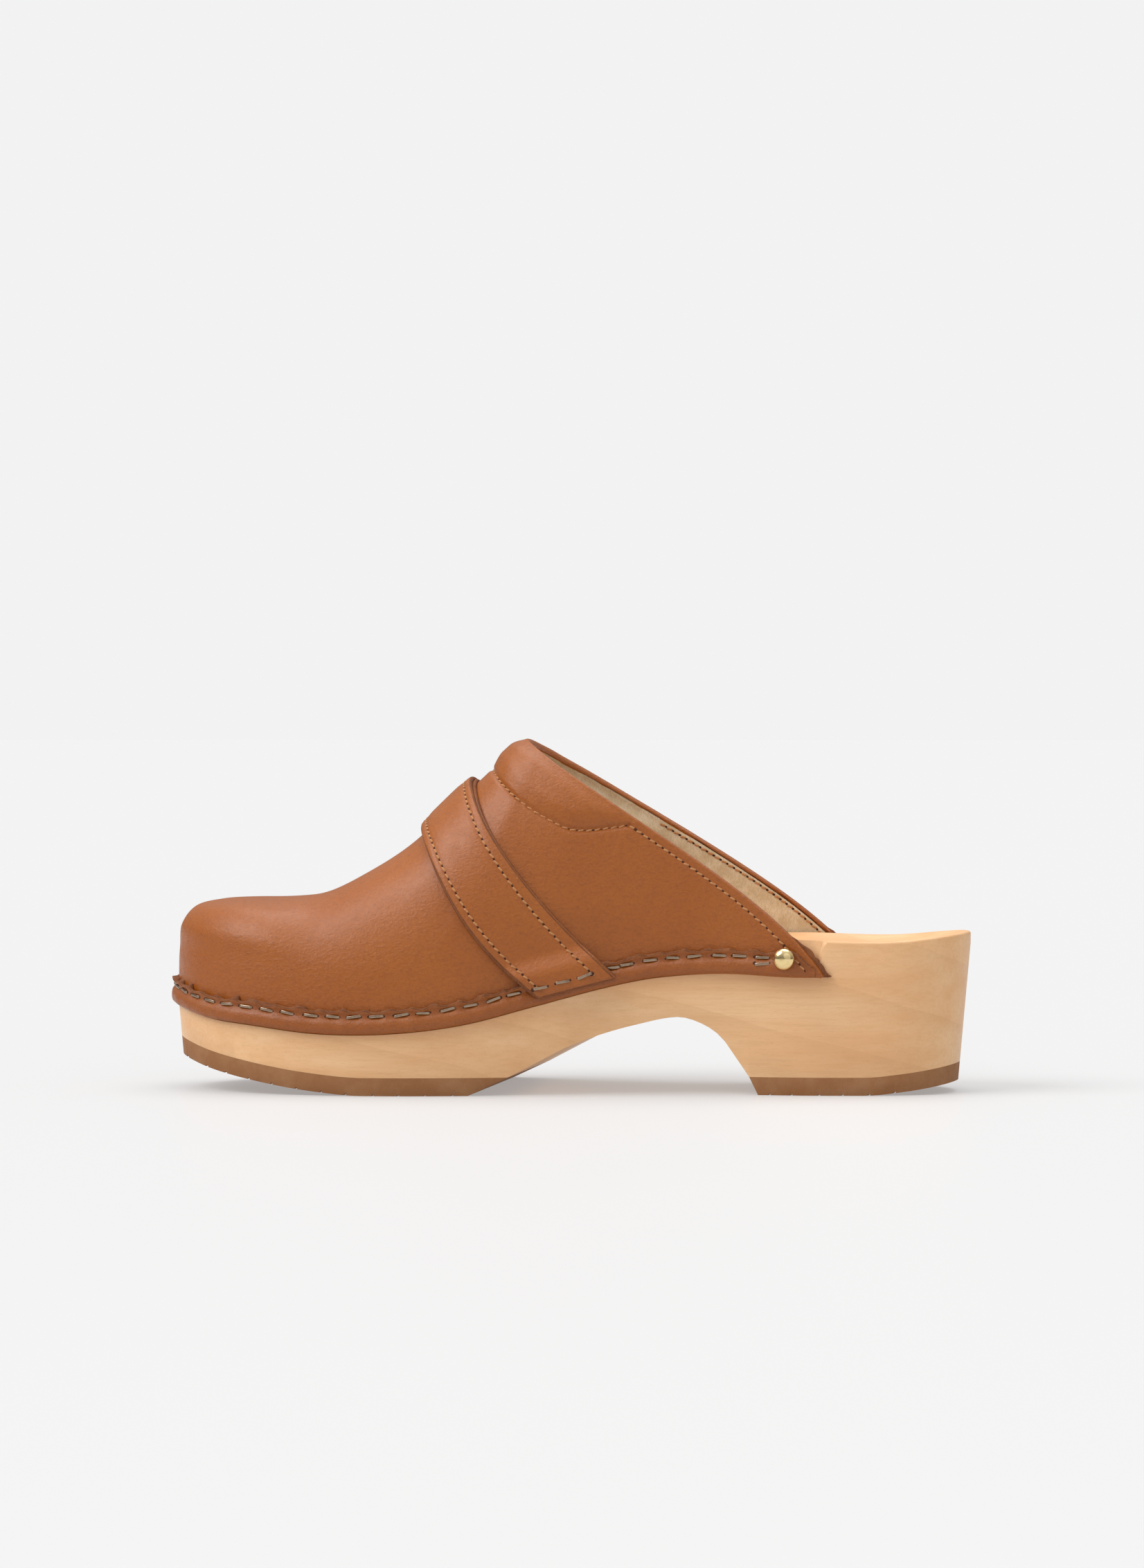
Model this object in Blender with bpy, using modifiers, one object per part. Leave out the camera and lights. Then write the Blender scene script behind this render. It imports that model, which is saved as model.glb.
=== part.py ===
"""A right-foot wooden clog with a stapled leather upper, an instep strap and rubber treads.

Frame: toe towards -X, heel towards +X, medial side towards -Y, up is +Z.
Distances along the shoe ("along") run from the toe tip of the wood towards the heel.
All sizes are in metres. The finished shoe stands on Z = 0, centred in X and Y.
"""
import math
from functools import lru_cache

import bmesh
import bpy
from mathutils import Vector

# ---- driving dimensions -------------------------------------------------------------------
LENGTH = 0.260            # wooden sole, toe to heel
BALL_WIDTH = 0.092        # wooden sole, widest place
HEEL_HEIGHT = 0.050       # rim of the footbed above the ground at the heel
INSTEP_HEIGHT = 0.114     # highest point of the upper above the ground
TREAD_THICKNESS = 0.0058  # rubber under the wood
FOOTBED_DEPTH = 0.0042    # dish of the footbed below its rim
SIDE_TAPER = 0.09         # how much the block narrows per unit of height towards the ground
LEATHER = 0.0016          # outer leather of the upper
LINING = 0.0010           # suede lining
PUFF = 0.0008             # toe stiffener
PAD = 0.0023              # foam in the collar
STRAP = 0.0016            # outer layer of the strap
BACKING = 0.0010          # inner layer of the strap
BACKING_MARGIN = 0.0007   # how far the inner strap layer shows past the outer one
CLEARANCE = 0.0003        # gap between neighbours
WALL_CLEARANCE = 0.0012   # gap between the lining and the rabbet wall
PROUD = 0.0022            # how far the wing tips stand out from the wood
WELT_GAP = 0.0006         # gap between the welt and the upper's hem
WELT_HEIGHT = 0.0077      # rolled welt, bottom of bead to raw edge
WELT_BULGE = 0.0025       # how far the bead stands out from the wood
STRAP_WIDTH = 0.0157      # strap's width where it crosses the ridge, measured along the shoe
STRAP_SETBACK = 0.0164    # strap's rear edge to the topline, measured along the ridge
STRAP_END_LIFT = 0.0024   # strap's lower edge above the bottom of the welt
STUD_DIAMETER = 0.0070
STUD_HEIGHT = 0.0026
STUD_SHANK = 0.0020
STUD_SHANK_LENGTH = 0.0100
STAPLE_CROWN = 0.0048     # outer width of a staple
STAPLE_WIDTH = 0.0010     # flat width of the wire
STAPLE_THICKNESS = 0.0005
STAPLE_LEG = 0.0085
STAPLE_PITCH = 0.0073
STAPLE_COUNT = 46         # from the medial wing round the toe, as many as separate nodes allow

# ---- shape rules --------------------------------------------------------------------------
STACK = LEATHER + CLEARANCE + LINING + WALL_CLEARANCE   # rabbet depth that seats the upper
EDGE_ROUND = 0.0008       # rounded rim of the bare wood
WING_TIP_MEDIAL = 0.8216  # where the topline meets the welt, as a share of LENGTH
WING_TIP_LATERAL = 0.858
TOE_POLE = 0.104          # the toe's ribs meet here on the ridge
RIDGE_PEAK = 0.4437       # the topline crosses the ridge here
PEAK = RIDGE_PEAK * LENGTH
STRAP_REAR = PEAK - STRAP_SETBACK
STRAP_FRONT = STRAP_REAR - STRAP_WIDTH
BREAK_SKEW = 0.06         # the tread's rear edge and heel breast run askew across the shoe
RIDGE_OFFSET = -0.035     # ridge line towards the medial side, as a share of BALL_WIDTH
TOE_BULGE = 0.0010
COLLAR_BULGE = 0.0012

# Plan of the block: share of LENGTH, share of BALL_WIDTH, from the heel along the medial side.
PLAN = [
    (1.000, 0.000), (0.981, -0.185), (0.925, -0.288), (0.820, -0.330), (0.705, -0.320),
    (0.590, -0.337), (0.477, -0.397), (0.370, -0.465), (0.270, -0.495), (0.172, -0.473),
    (0.092, -0.402), (0.034, -0.272), (0.004, -0.110), (0.004, 0.060), (0.032, 0.225),
    (0.086, 0.358), (0.172, 0.456), (0.275, 0.505), (0.382, 0.511), (0.497, 0.473),
    (0.610, 0.424), (0.725, 0.375), (0.820, 0.348), (0.925, 0.300), (0.981, 0.190),
]
# Side lines: share of LENGTH, share of HEEL_HEIGHT.
RIM = [(-0.008, 0.88), (0.073, 0.74), (0.184, 0.63), (0.305, 0.63), (0.416, 0.74),
       (0.526, 0.88), (0.647, 0.97), (0.778, 1.00), (0.899, 0.99), (1.000, 1.04)]
LEDGE = [(-0.008, 0.575), (0.053, 0.484), (0.113, 0.445), (0.204, 0.395), (0.295, 0.40),
         (0.380, 0.455), (0.466, 0.57), (0.557, 0.695), (0.617, 0.755), (0.698, 0.782),
         (0.788, 0.762), (0.879, 0.78), (0.950, 0.87), (1.000, 0.97)]
TOE_SPRING = [(-0.028, 0.259), (0.018, 0.214), (0.066, 0.150), (0.133, 0.081), (0.194, 0.032),
              (0.264, 0.0), (0.446, 0.0)]
HEEL_SPRING = [(0.597, 0.0), (0.879, 0.0), (0.924, 0.022), (0.960, 0.050), (1.030, 0.124)]
ARCH = [(0.511, 0.304), (0.552, 0.386), (0.597, 0.452), (0.648, 0.502), (0.677, 0.462),
        (0.701, 0.378), (0.716, 0.270)]
# Ridge of the upper: share of LENGTH, share of the rise from HEEL_HEIGHT to INSTEP_HEIGHT; it runs on
# past the topline.
RIDGE = [(-0.008, 0.1717), (0.073, 0.1913), (0.149, 0.1949), (0.194, 0.2234), (0.244, 0.3249),
         (0.300, 0.4727), (0.355, 0.6794), (0.391, 0.8165), (0.418, 0.9252), (0.436, 0.9858),
         (0.496, 1.1247), (0.647, 1.5344), (0.899, 2.0688)]
TREAD_REAR = 0.3946       # bevel of the forefoot tread starts here on the ground
BEVEL_SLOPE = 0.47        # rise of that bevel
BREAST_FOOT = 0.7465      # the heel's front face meets the ground here
BREAST_SLOPE = -2.1

MATERIALS = {
    "alder_wood": ((0.78, 0.52, 0.30), 0.45, 0.0),
    "tread_rubber": ((0.35, 0.18, 0.09), 0.80, 0.0),
    "cognac_leather": ((0.40, 0.13, 0.035), 0.42, 0.0),
    "beige_suede": ((0.52, 0.43, 0.30), 0.90, 0.0),
    "stiffener_sheet": ((0.70, 0.68, 0.62), 0.60, 0.0),
    "white_foam": ((0.80, 0.79, 0.74), 0.90, 0.0),
    "polished_brass": ((0.85, 0.62, 0.26), 0.18, 1.0),
    "galvanised_wire": ((0.60, 0.55, 0.48), 0.35, 1.0),
}


def smooth_line(points):
    """A function through the points with no corners at them (cubic Hermite spans)."""
    xs = [x for x, _ in points]
    ys = [y for _, y in points]
    slopes = []
    for i in range(len(points)):
        a, b = max(i - 1, 0), min(i + 1, len(points) - 1)
        slopes.append((ys[b] - ys[a]) / (xs[b] - xs[a]))

    def value(x):
        if x <= xs[0]:
            return ys[0]
        if x >= xs[-1]:
            return ys[-1]
        i = max(k for k in range(len(xs) - 1) if xs[k] <= x)
        span = xs[i + 1] - xs[i]
        s = (x - xs[i]) / span
        return ((2 * s**3 - 3 * s**2 + 1) * ys[i] + (s**3 - 2 * s**2 + s) * span * slopes[i]
                + (3 * s**2 - 2 * s**3) * ys[i + 1] + (s**3 - s**2) * span * slopes[i + 1])
    return value


def ease(value, start, end):
    """0 before start, 1 after end, smooth between."""
    s = min(max((value - start) / (end - start), 0.0), 1.0)
    return s * s * (3 - 2 * s)


def scaled(points, height, base=0.0):
    """Side-line points in metres, as shares of a height above a base."""
    return smooth_line([(x * LENGTH, base + z * height) for x, z in points])


rim_height = scaled(RIM, HEEL_HEIGHT)
ledge_height = scaled(LEDGE, HEEL_HEIGHT)
ridge_height = scaled(RIDGE, INSTEP_HEIGHT - HEEL_HEIGHT, HEEL_HEIGHT)


def dense_plan(per_span=24):
    """The plan outline as a closed loop of close points (Catmull-Rom through PLAN)."""
    knots = [Vector((x * LENGTH, y * BALL_WIDTH)) for x, y in PLAN]
    loop = []
    for i in range(len(knots)):
        p0, p1, p2, p3 = (knots[(i + k) % len(knots)] for k in (-1, 0, 1, 2))
        for step in range(per_span):
            s = step / per_span
            loop.append(0.5 * (2 * p1 + (p2 - p0) * s + (2 * p0 - 5 * p1 + 4 * p2 - p3) * s**2
                               + (3 * p1 - p0 - 3 * p2 + p3) * s**3))
    return loop


LOOP = dense_plan()
TOE_INDEX = min(range(len(LOOP)), key=lambda i: LOOP[i].x)
ARC = [0.0]
for index in range(1, len(LOOP) + 1):
    ARC.append(ARC[-1] + (LOOP[index % len(LOOP)] - LOOP[index - 1]).length)
PERIMETER = ARC[-1]


def on_plan(distance):
    """Point and outward normal of the outline, a distance along it from the heel's centre."""
    distance %= PERIMETER
    low, high = 0, len(LOOP)
    while high - low > 1:
        middle = (low + high) // 2
        low, high = (middle, high) if ARC[middle] <= distance else (low, middle)
    s = (distance - ARC[low]) / (ARC[low + 1] - ARC[low])
    a, b = LOOP[low], LOOP[(low + 1) % len(LOOP)]
    before, after = LOOP[low - 1], LOOP[(low + 2) % len(LOOP)]
    tangent = ((b - before) * (1 - s) + (after - a) * s).normalized()
    return a + (b - a) * s, Vector((-tangent.y, tangent.x))


def plan_distance(along, side):
    """Distance along the outline of the point at a place on one side (-1 medial, 1 lateral)."""
    low, high = (0.0, ARC[TOE_INDEX]) if side < 0 else (ARC[TOE_INDEX], PERIMETER)
    for _ in range(40):
        middle = (low + high) / 2
        nearer_heel = on_plan(middle)[0].x > along
        if (side < 0) == nearer_heel:
            low = middle
        else:
            high = middle
    return (low + high) / 2


def wing_tip(side):
    return (WING_TIP_MEDIAL if side < 0 else WING_TIP_LATERAL) * LENGTH


def proud(along, side):
    """How far the upper stands out from the wood's side: only near its two tips."""
    tip = wing_tip(side)
    return PROUD * ease(along, tip - 0.055, tip)


# ---- the upper's surface ------------------------------------------------------------------
FAN_SHARE = 0.2           # share of the rib range that fans round the toe
# How far behind its ridge place a rib meets the welt, how straight it runs down there, how it bows.
TILT = smooth_line([(TOE_POLE * LENGTH, 0.0), (0.2115 * LENGTH, 0.0769 * LENGTH),
                    (STRAP_FRONT, 0.1615 * LENGTH), (STRAP_REAR, 0.1885 * LENGTH),
                    (PEAK, wing_tip(-1) - PEAK)])
LEAN = smooth_line([(TOE_POLE * LENGTH, 1.0), (STRAP_FRONT, 0.42), (STRAP_REAR, 0.50), (PEAK, 1.27)])
SWAY = smooth_line([(TOE_POLE * LENGTH, 0.0), (STRAP_FRONT, -0.5), (STRAP_REAR, 0.2), (PEAK, 0.46)])
# Powers of the rounded section: boxy over the toe, rounder over the instep.
ROUND_Z = scaled([(0.0, 5.0), (0.077, 5.0), (0.231, 3.0), (0.385, 2.2), (1.154, 2.2)], 1.0)
ROUND_Y = scaled([(0.0, 3.2), (0.077, 3.2), (0.231, 2.6), (0.385, 2.1), (1.154, 2.1)], 1.0)


def ridge_side(along):
    """Y of the ridge line."""
    return RIDGE_OFFSET * BALL_WIDTH * ease(along, 0.0, 0.4 * LENGTH)


def reach_of(ridge, side):
    """How far behind its ridge place a rib meets the welt."""
    longer = (wing_tip(1) - wing_tip(-1)) * ease(ridge, STRAP_REAR, PEAK)
    return TILT(ridge) + (longer if side > 0 else 0.0)


@lru_cache(maxsize=None)
def rib_ends(q):
    """Ridge place, welt place and outline distance of rib q (-1 medial topline, 1 lateral)."""
    side = -1 if q < 0 else 1
    pole = TOE_POLE * LENGTH
    share = abs(q)
    if share <= FAN_SHARE:
        corner = plan_distance(pole, side)
        distance = ARC[TOE_INDEX] + (corner - ARC[TOE_INDEX]) * share / FAN_SHARE
        return side, pole, on_plan(distance)[0].x, distance
    foot = pole + (wing_tip(side) - pole) * (share - FAN_SHARE) / (1 - FAN_SHARE)
    low, high = pole, PEAK
    for _ in range(40):
        middle = (low + high) / 2
        if middle + reach_of(middle, side) < foot:
            low = middle
        else:
            high = middle
    return side, high, foot, plan_distance(foot, side)


def surface(q, v):
    """Outer face of the upper: rib q, from the welt (v = 0) up to the ridge (v = 1)."""
    side, ridge, foot, distance = rib_ends(q)
    angle = v * math.pi / 2
    bottom = ledge_height(foot) + CLEARANCE
    top = ridge_height(ridge)
    middle = ridge_side(ridge)
    if abs(q) <= FAN_SHARE:
        rise = math.sin(angle) ** (2 / ROUND_Z(foot))
        reach = math.cos(angle) ** (2 / ROUND_Y(foot)) if v < 1 else 0.0
        base, _ = on_plan(distance)
        height = bottom + (top - bottom) * rise
        x = ridge + (base.x - ridge) * reach
        y = middle + (base.y - middle) * reach
    else:
        rise = math.sin(angle) ** (2 / ROUND_Z(ridge))
        height = bottom + (top - bottom) * rise
        drop = 1 - rise
        lean = LEAN(ridge)
        sway = SWAY(ridge) * drop * rise * (drop - 0.52)
        x = ridge + (foot - ridge) * (lean * drop + (1 - lean) * drop * drop + sway)
        local_bottom = ledge_height(x) + CLEARANCE
        share = (height - local_bottom) / (ridge_height(x) - local_bottom)
        share = min(max(share, 0.0), 1.0)
        reach = (1 - share ** ROUND_Z(x)) ** (1 / ROUND_Y(x)) if v < 1 else 0.0
        edge = on_plan(plan_distance(x, side))[0].y + side * proud(x, side)
        centre = ridge_side(x)
        y = centre + (edge - centre) * reach
    return Vector((x, y, height))


def bulge(q, v):
    """The leather swells a little over the toe stiffener and over the collar's foam."""
    toe = (1 - ease(rib_ends(q)[2], 0.034, 0.06)) * ease(v, 0.12, 0.3) * (1 - ease(v, 0.5, 0.8))
    return TOE_BULGE * toe + COLLAR_BULGE * collar(q, v)


def collar(q, v):
    """1 inside the padded collar, 0 outside it."""
    to_topline = PEAK - rib_ends(q)[1]
    over_foam = (1 - ease(to_topline, 0.009, 0.0135)) * ease(to_topline, 0.0, 0.004)
    return over_foam * ease(v, 0.42, 0.56)


def skin(q, v, lift=0.0):
    """Point of the upper's outer face, moved out along its normal by lift."""
    step = 0.004
    here = surface(q, v)
    lift += bulge(q, v)
    if lift == 0.0:
        return here
    if v >= 1 - step:
        _, ridge, _, _ = rib_ends(q)
        slope = (ridge_height(ridge + 0.001) - ridge_height(ridge - 0.001)) / 0.002
        if abs(q) <= FAN_SHARE:
            slope = 0.0
        normal = Vector((-slope, 0.0, 1.0))
    else:
        q_low, q_high = max(q - step, -1.0), min(q + step, 1.0)
        v_low, v_high = max(v - step, 0.0), v + step
        across = surface(q_high, v) - surface(q_low, v)
        upward = surface(q, v_high) - surface(q, v_low)
        normal = upward.cross(across)
    if v < 0.05:
        normal.z = 0.0
    return here + normal.normalized() * lift


def rib_of_ridge(along, side):
    """Rib number whose upper end is at this place on the ridge."""
    pole = TOE_POLE * LENGTH
    foot = along + reach_of(along, side)
    return side * (FAN_SHARE + (1 - FAN_SHARE) * (foot - pole) / (wing_tip(side) - pole))


# ---- scene helpers ------------------------------------------------------------------------
def clear_scene():
    for item in list(bpy.data.objects):
        bpy.data.objects.remove(item, do_unlink=True)


def collection(name):
    made = bpy.data.collections.new(name)
    bpy.context.scene.collection.children.link(made)
    return made


def material(name):
    if name in bpy.data.materials:
        return bpy.data.materials[name]
    colour, roughness, metallic = MATERIALS[name]
    made = bpy.data.materials.new(name)
    made.use_nodes = True
    shader = made.node_tree.nodes["Principled BSDF"]
    shader.inputs["Base Color"].default_value = (*colour, 1.0)
    shader.inputs["Roughness"].default_value = roughness
    shader.inputs["Metallic"].default_value = metallic
    return made


def add_object(name, shape, finish, group):
    """Turn a bmesh into an object in a collection, with its material."""
    mesh = bpy.data.meshes.new(name)
    shape.to_mesh(mesh)
    shape.free()
    made = bpy.data.objects.new(name, mesh)
    group.objects.link(made)
    if finish:
        mesh.materials.append(material(finish))
        mesh.shade_smooth()
        mesh.set_sharp_from_angle(angle=math.radians(35))
    return made


def loft(rings, closed, capped):
    """Quads between successive rings of points, each ring itself closed or open."""
    shape = bmesh.new()
    rows = [[shape.verts.new(point) for point in ring] for ring in rings]
    for lower, upper in zip(rows, rows[1:]):
        count = len(lower) if closed else len(lower) - 1
        for i in range(count):
            k = (i + 1) % len(lower)
            shape.faces.new((lower[i], lower[k], upper[k], upper[i]))
    if capped:
        shape.faces.new(list(reversed(rows[0])))
        shape.faces.new(rows[-1])
    return shape


def prism(points, low, high, skew=0.0):
    """A closed side outline (x, z) drawn out across the shoe, slanted by skew."""
    shape = bmesh.new()
    ring = [shape.verts.new((x + skew * low, low, z)) for x, z in points]
    face = shape.faces.new(ring)
    extruded = bmesh.ops.extrude_face_region(shape, geom=[face])
    moved = [item for item in extruded["geom"] if isinstance(item, bmesh.types.BMVert)]
    bmesh.ops.translate(shape, verts=moved, vec=(skew * (high - low), high - low, 0.0))
    bmesh.ops.recalc_face_normals(shape, faces=shape.faces)
    return shape


def hide_cutter(cutter):
    cutter.hide_render = True
    cutter.display_type = "WIRE"
    return cutter


def boolean(target, cutter, operation):
    step = target.modifiers.new(operation.lower(), "BOOLEAN")
    step.operation = operation
    step.object = hide_cutter(cutter)
    step.solver = "EXACT"


def solidify(target, thickness):
    wall = target.modifiers.new("thickness", "SOLIDIFY")
    wall.thickness = thickness
    wall.offset = -1.0
    wall.use_even_offset = True


# ---- wooden sole and treads ---------------------------------------------------------------
SOLE_STATIONS = 96
GROUND_MARGIN = 0.003
CORNER_MARGIN = 0.002


def side_point(distance, height, inset=0.0):
    """Point on the block's tapering side, or inset from it."""
    point, normal = on_plan(distance)
    below = max(ledge_height(point.x) - height, 0.0)
    flat = point - normal * (inset + SIDE_TAPER * below)
    return Vector((flat.x, flat.y, height))


def rabbet_depth(along, side):
    """Depth of the step that seats the upper; 0 on the bare heel."""
    beyond = ease(along, wing_tip(side) + 0.001, wing_tip(side) + 0.005)
    return (STACK - proud(along, side)) * (1 - beyond)


def sole_column(distance):
    """One column of the block, from the ground up its side, over the rim and into the footbed."""
    point, _ = on_plan(distance)
    side = -1 if point.y < 0 else 1
    depth = rabbet_depth(point.x, side)
    rim = rim_height(point.x)
    covered = min(depth / EDGE_ROUND, 1.0)
    ledge = ledge_height(point.x) * covered + (rim - EDGE_ROUND) * (1 - covered)
    depth = max(depth, EDGE_ROUND)
    shoulder = depth * covered + 0.3 * EDGE_ROUND * (1 - covered)
    column = [
        side_point(distance, -GROUND_MARGIN),
        side_point(distance, ledge),
        side_point(distance, ledge + 0.4 * EDGE_ROUND * (1 - covered), shoulder),
        side_point(distance, rim, depth),
    ]
    land = side_point(distance, rim, depth + 0.0025)
    spine_x = min(max(point.x, 0.17 * LENGTH), 0.89 * LENGTH)
    for share in (0.0, 0.12, 0.3, 0.55, 0.8):
        x = land.x + (spine_x - land.x) * share
        y = land.y * (1 - share)
        dish = FOOTBED_DEPTH * (1 - (1 - share) ** 2.5)
        column.append(Vector((x, y, rim_height(x) - dish)))
    return column


def build_block(name, finish, group, full=True):
    """The block before its underside is cut, or just its plain side walls for a tread."""
    distances = [PERIMETER * i / SOLE_STATIONS for i in range(SOLE_STATIONS)]
    if full:
        columns = [sole_column(d) for d in distances]
    else:
        columns = [[side_point(d, -GROUND_MARGIN), side_point(d, 0.4 * HEEL_HEIGHT)] for d in distances]
    rings = [[column[level] for column in columns] for level in range(len(columns[0]))]
    shape = loft(rings, closed=True, capped=True)
    bmesh.ops.recalc_face_normals(shape, faces=shape.faces)
    return add_object(name, shape, finish, group)


def line_points(points, lift=0.0):
    """Close points along a side line, raised by lift."""
    line = scaled(points, HEEL_HEIGHT)
    start, end = points[0][0] * LENGTH, points[-1][0] * LENGTH
    count = max(int((end - start) / 0.008), 2)
    xs = [start + (end - start) * i / count for i in range(count + 1)]
    return [(x, line(x) + lift) for x in xs]


def bevel_at(height):
    """Where the forefoot tread's bevelled rear end is, at a height."""
    return TREAD_REAR * LENGTH + height / BEVEL_SLOPE


def breast_at(height):
    """Where the heel's front face is, at a height."""
    return BREAST_FOOT * LENGTH + height / BREAST_SLOPE


def spring_points(points, height, lift, front):
    """The part of a tread's line that lies before its bevel or behind its breast."""
    if front:
        return [p for p in line_points(points, lift) if p[0] < bevel_at(height) - CORNER_MARGIN]
    return [p for p in line_points(points, lift) if p[0] > breast_at(height) + CORNER_MARGIN]


def underside_outline():
    """Everything below the wood: under the treads and through the arch."""
    seat = TREAD_THICKNESS
    front = spring_points(TOE_SPRING, seat, seat, front=True)
    rear = spring_points(HEEL_SPRING, seat, seat, front=False)
    low, before, behind = -0.02, front[0][0] - 0.02, rear[-1][0] + 0.02
    return ([(before, low), (before, front[0][1])] + front + [(bevel_at(seat), seat)]
            + line_points(ARCH) + [(breast_at(seat), seat)] + rear
            + [(behind, rear[-1][1]), (behind, low)])


def forefoot_tread_outline():
    seat = TREAD_THICKNESS - CLEARANCE
    top = spring_points(TOE_SPRING, seat, seat, front=True)
    wear = spring_points(TOE_SPRING, 0.0, 0.0, front=True)
    return top + [(bevel_at(seat), seat), (bevel_at(0.0), 0.0)] + list(reversed(wear))


def heel_tread_outline():
    seat = TREAD_THICKNESS - CLEARANCE
    top = spring_points(HEEL_SPRING, seat, seat, front=False)
    wear = spring_points(HEEL_SPRING, 0.0, 0.0, front=False)
    return [(breast_at(0.0), 0.0), (breast_at(seat), seat)] + top + list(reversed(wear))


def build_sole(parts, cutters):
    across = 0.6 * BALL_WIDTH
    sole = build_block("wooden_sole", "alder_wood", parts)
    cutter = add_object("underside", prism(underside_outline(), -across, across, BREAK_SKEW), None, cutters)
    boolean(sole, cutter, "DIFFERENCE")
    for name, outline in (("forefoot_tread", forefoot_tread_outline()),
                          ("heel_tread", heel_tread_outline())):
        tread = build_block(name, "tread_rubber", parts, full=False)
        slab = add_object(name + "_slab", prism(outline, -across, across, BREAK_SKEW), None, cutters)
        boolean(tread, slab, "INTERSECT")
    return sole


# ---- leather, lining and what is between them ---------------------------------------------
HOOP_RIBS = 20            # ribs on each side between the toe fan and the topline
FAN_RIBS = 5              # ribs on each half of the toe fan
HEIGHT_STEPS = 9
PUFF_END = 0.052          # the toe stiffener reaches this far back along the welt
PAD_LENGTH = 0.011        # the collar's foam, along the ridge


def rib_numbers():
    """Ribs spaced evenly along the welt, in pairs that share their place on the ridge."""
    fan = [FAN_SHARE * i / FAN_RIBS for i in range(FAN_RIBS + 1)]
    medial = [FAN_SHARE + (1 - FAN_SHARE) * i / HOOP_RIBS for i in range(1, HOOP_RIBS + 1)]
    lateral = [rib_of_ridge(rib_ends(-q)[1], 1) for q in medial]
    return [-q for q in reversed(fan + medial)] + (fan + lateral)[1:]


def sheet(name, finish, group, ribs, heights, lift, thickness):
    """A skin over part of the upper's surface, with its wall turned inwards."""
    rows = [[skin(q, v, lift(q, v)) for v in heights] for q in ribs]
    shape = loft(rows, closed=False, capped=False)
    bmesh.ops.remove_doubles(shape, verts=shape.verts, dist=0.00005)
    made = add_object(name, shape, finish, group)
    solidify(made, thickness)
    return made


def lining_lift(q, v):
    """The lining lies behind the leather, the toe stiffener and the collar's foam."""
    _, ridge, foot, _ = rib_ends(q)
    toe = (PUFF + CLEARANCE) * (1 - ease(foot, PUFF_END, PUFF_END + 0.012)) * ease(v, 0.16, 0.24)
    foam = (PAD + CLEARANCE) * ease(ridge, PEAK - 0.018, PEAK - 0.014) * ease(v, 0.34, 0.48)
    return -(LEATHER + CLEARANCE + toe + foam)


def build_upper(parts):
    ribs = rib_numbers()
    heights = [i / HEIGHT_STEPS for i in range(HEIGHT_STEPS + 1)]
    behind_leather = -(LEATHER + CLEARANCE)
    upper = sheet("upper", "cognac_leather", parts, ribs, heights, lambda q, v: 0.0, LEATHER)
    lining = sheet("upper_lining", "beige_suede", parts, ribs[1:-1], heights, lining_lift, LINING)
    sheet("toe_puff", "stiffener_sheet", parts, [q for q in ribs if rib_ends(q)[2] < PUFF_END],
          heights[3:], lambda q, v: behind_leather, PUFF)
    foam_ribs = [q for q in ribs if PEAK - PAD_LENGTH < rib_ends(q)[1] < PEAK - 0.001]
    foam = foam_rows(foam_ribs, heights)
    made = add_object("instep_pad", foam, "white_foam", parts)
    solidify(made, PAD)
    return upper, lining


def foam_rows(foam_ribs, heights):
    """The collar's pad, laid over the ridge from the medial to the lateral side."""
    reach = [v for v in heights if v > 0.52]
    half = len(foam_ribs) // 2
    medial, lateral = foam_ribs[:half], list(reversed(foam_ribs[half:]))
    behind_leather = -(LEATHER + CLEARANCE)
    rows = []
    for near, far in zip(medial, lateral):
        row = [skin(near, v, behind_leather) for v in reach]
        row += [skin(far, v, behind_leather) for v in reversed(reach[:-1])]
        rows.append(row)
    return loft(rows, closed=False, capped=False)


# ---- strap --------------------------------------------------------------------------------
STRAP_ROWS = 5
STRAP_STEPS = 13


def strap_foot(q):
    """Where on rib q the strap ends, just above the bottom of the welt."""
    low, high = 0.0, 0.5
    _, _, foot, _ = rib_ends(q)
    target = ledge_height(foot) + STRAP_END_LIFT
    for _ in range(30):
        middle = (low + high) / 2
        if surface(q, middle).z < target:
            low = middle
        else:
            high = middle
    return low


def welt_clearance(q, v):
    """Extra lift that carries the strap over the welt at its two ends."""
    point = surface(q, v)
    above = point.z - ledge_height(point.x)
    return (WELT_BULGE + CLEARANCE) * (1 - ease(above, WELT_HEIGHT + 0.0015, WELT_HEIGHT + 0.009))


def strap_layer(name, parts, margin, lift, thickness):
    front, rear = STRAP_FRONT - margin, STRAP_REAR + margin
    rows = []
    for k in range(STRAP_ROWS):
        along = rear + (front - rear) * k / (STRAP_ROWS - 1)
        row = []
        for side in (-1, 1):
            q = rib_of_ridge(along, side)
            start = strap_foot(q)
            steps = [start + (1 - start) * i / STRAP_STEPS for i in range(STRAP_STEPS + 1)]
            points = [skin(q, v, lift + welt_clearance(q, v)) for v in steps]
            row += points if side < 0 else list(reversed(points))[1:]
        rows.append(row)
    shape = loft(rows, closed=False, capped=False)
    made = add_object(name, shape, "cognac_leather", parts)
    solidify(made, thickness)
    return made


def build_strap(parts):
    backing_face = CLEARANCE + BACKING
    backing = strap_layer("strap_backing", parts, BACKING_MARGIN, backing_face, BACKING)
    outer = strap_layer("instep_strap", parts, 0.0, backing_face + CLEARANCE + STRAP, STRAP)
    return backing, outer


# ---- welt ---------------------------------------------------------------------------------
# Section of the rolled welt: share of WELT_BULGE outwards, share of WELT_HEIGHT upwards.
WELT_SECTION = [(0.7, 0.05), (1.0, 0.28), (0.92, 0.48), (0.5, 0.72), (0.72, 0.93), (0.45, 1.0)]
WELT_STATIONS = 66


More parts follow.
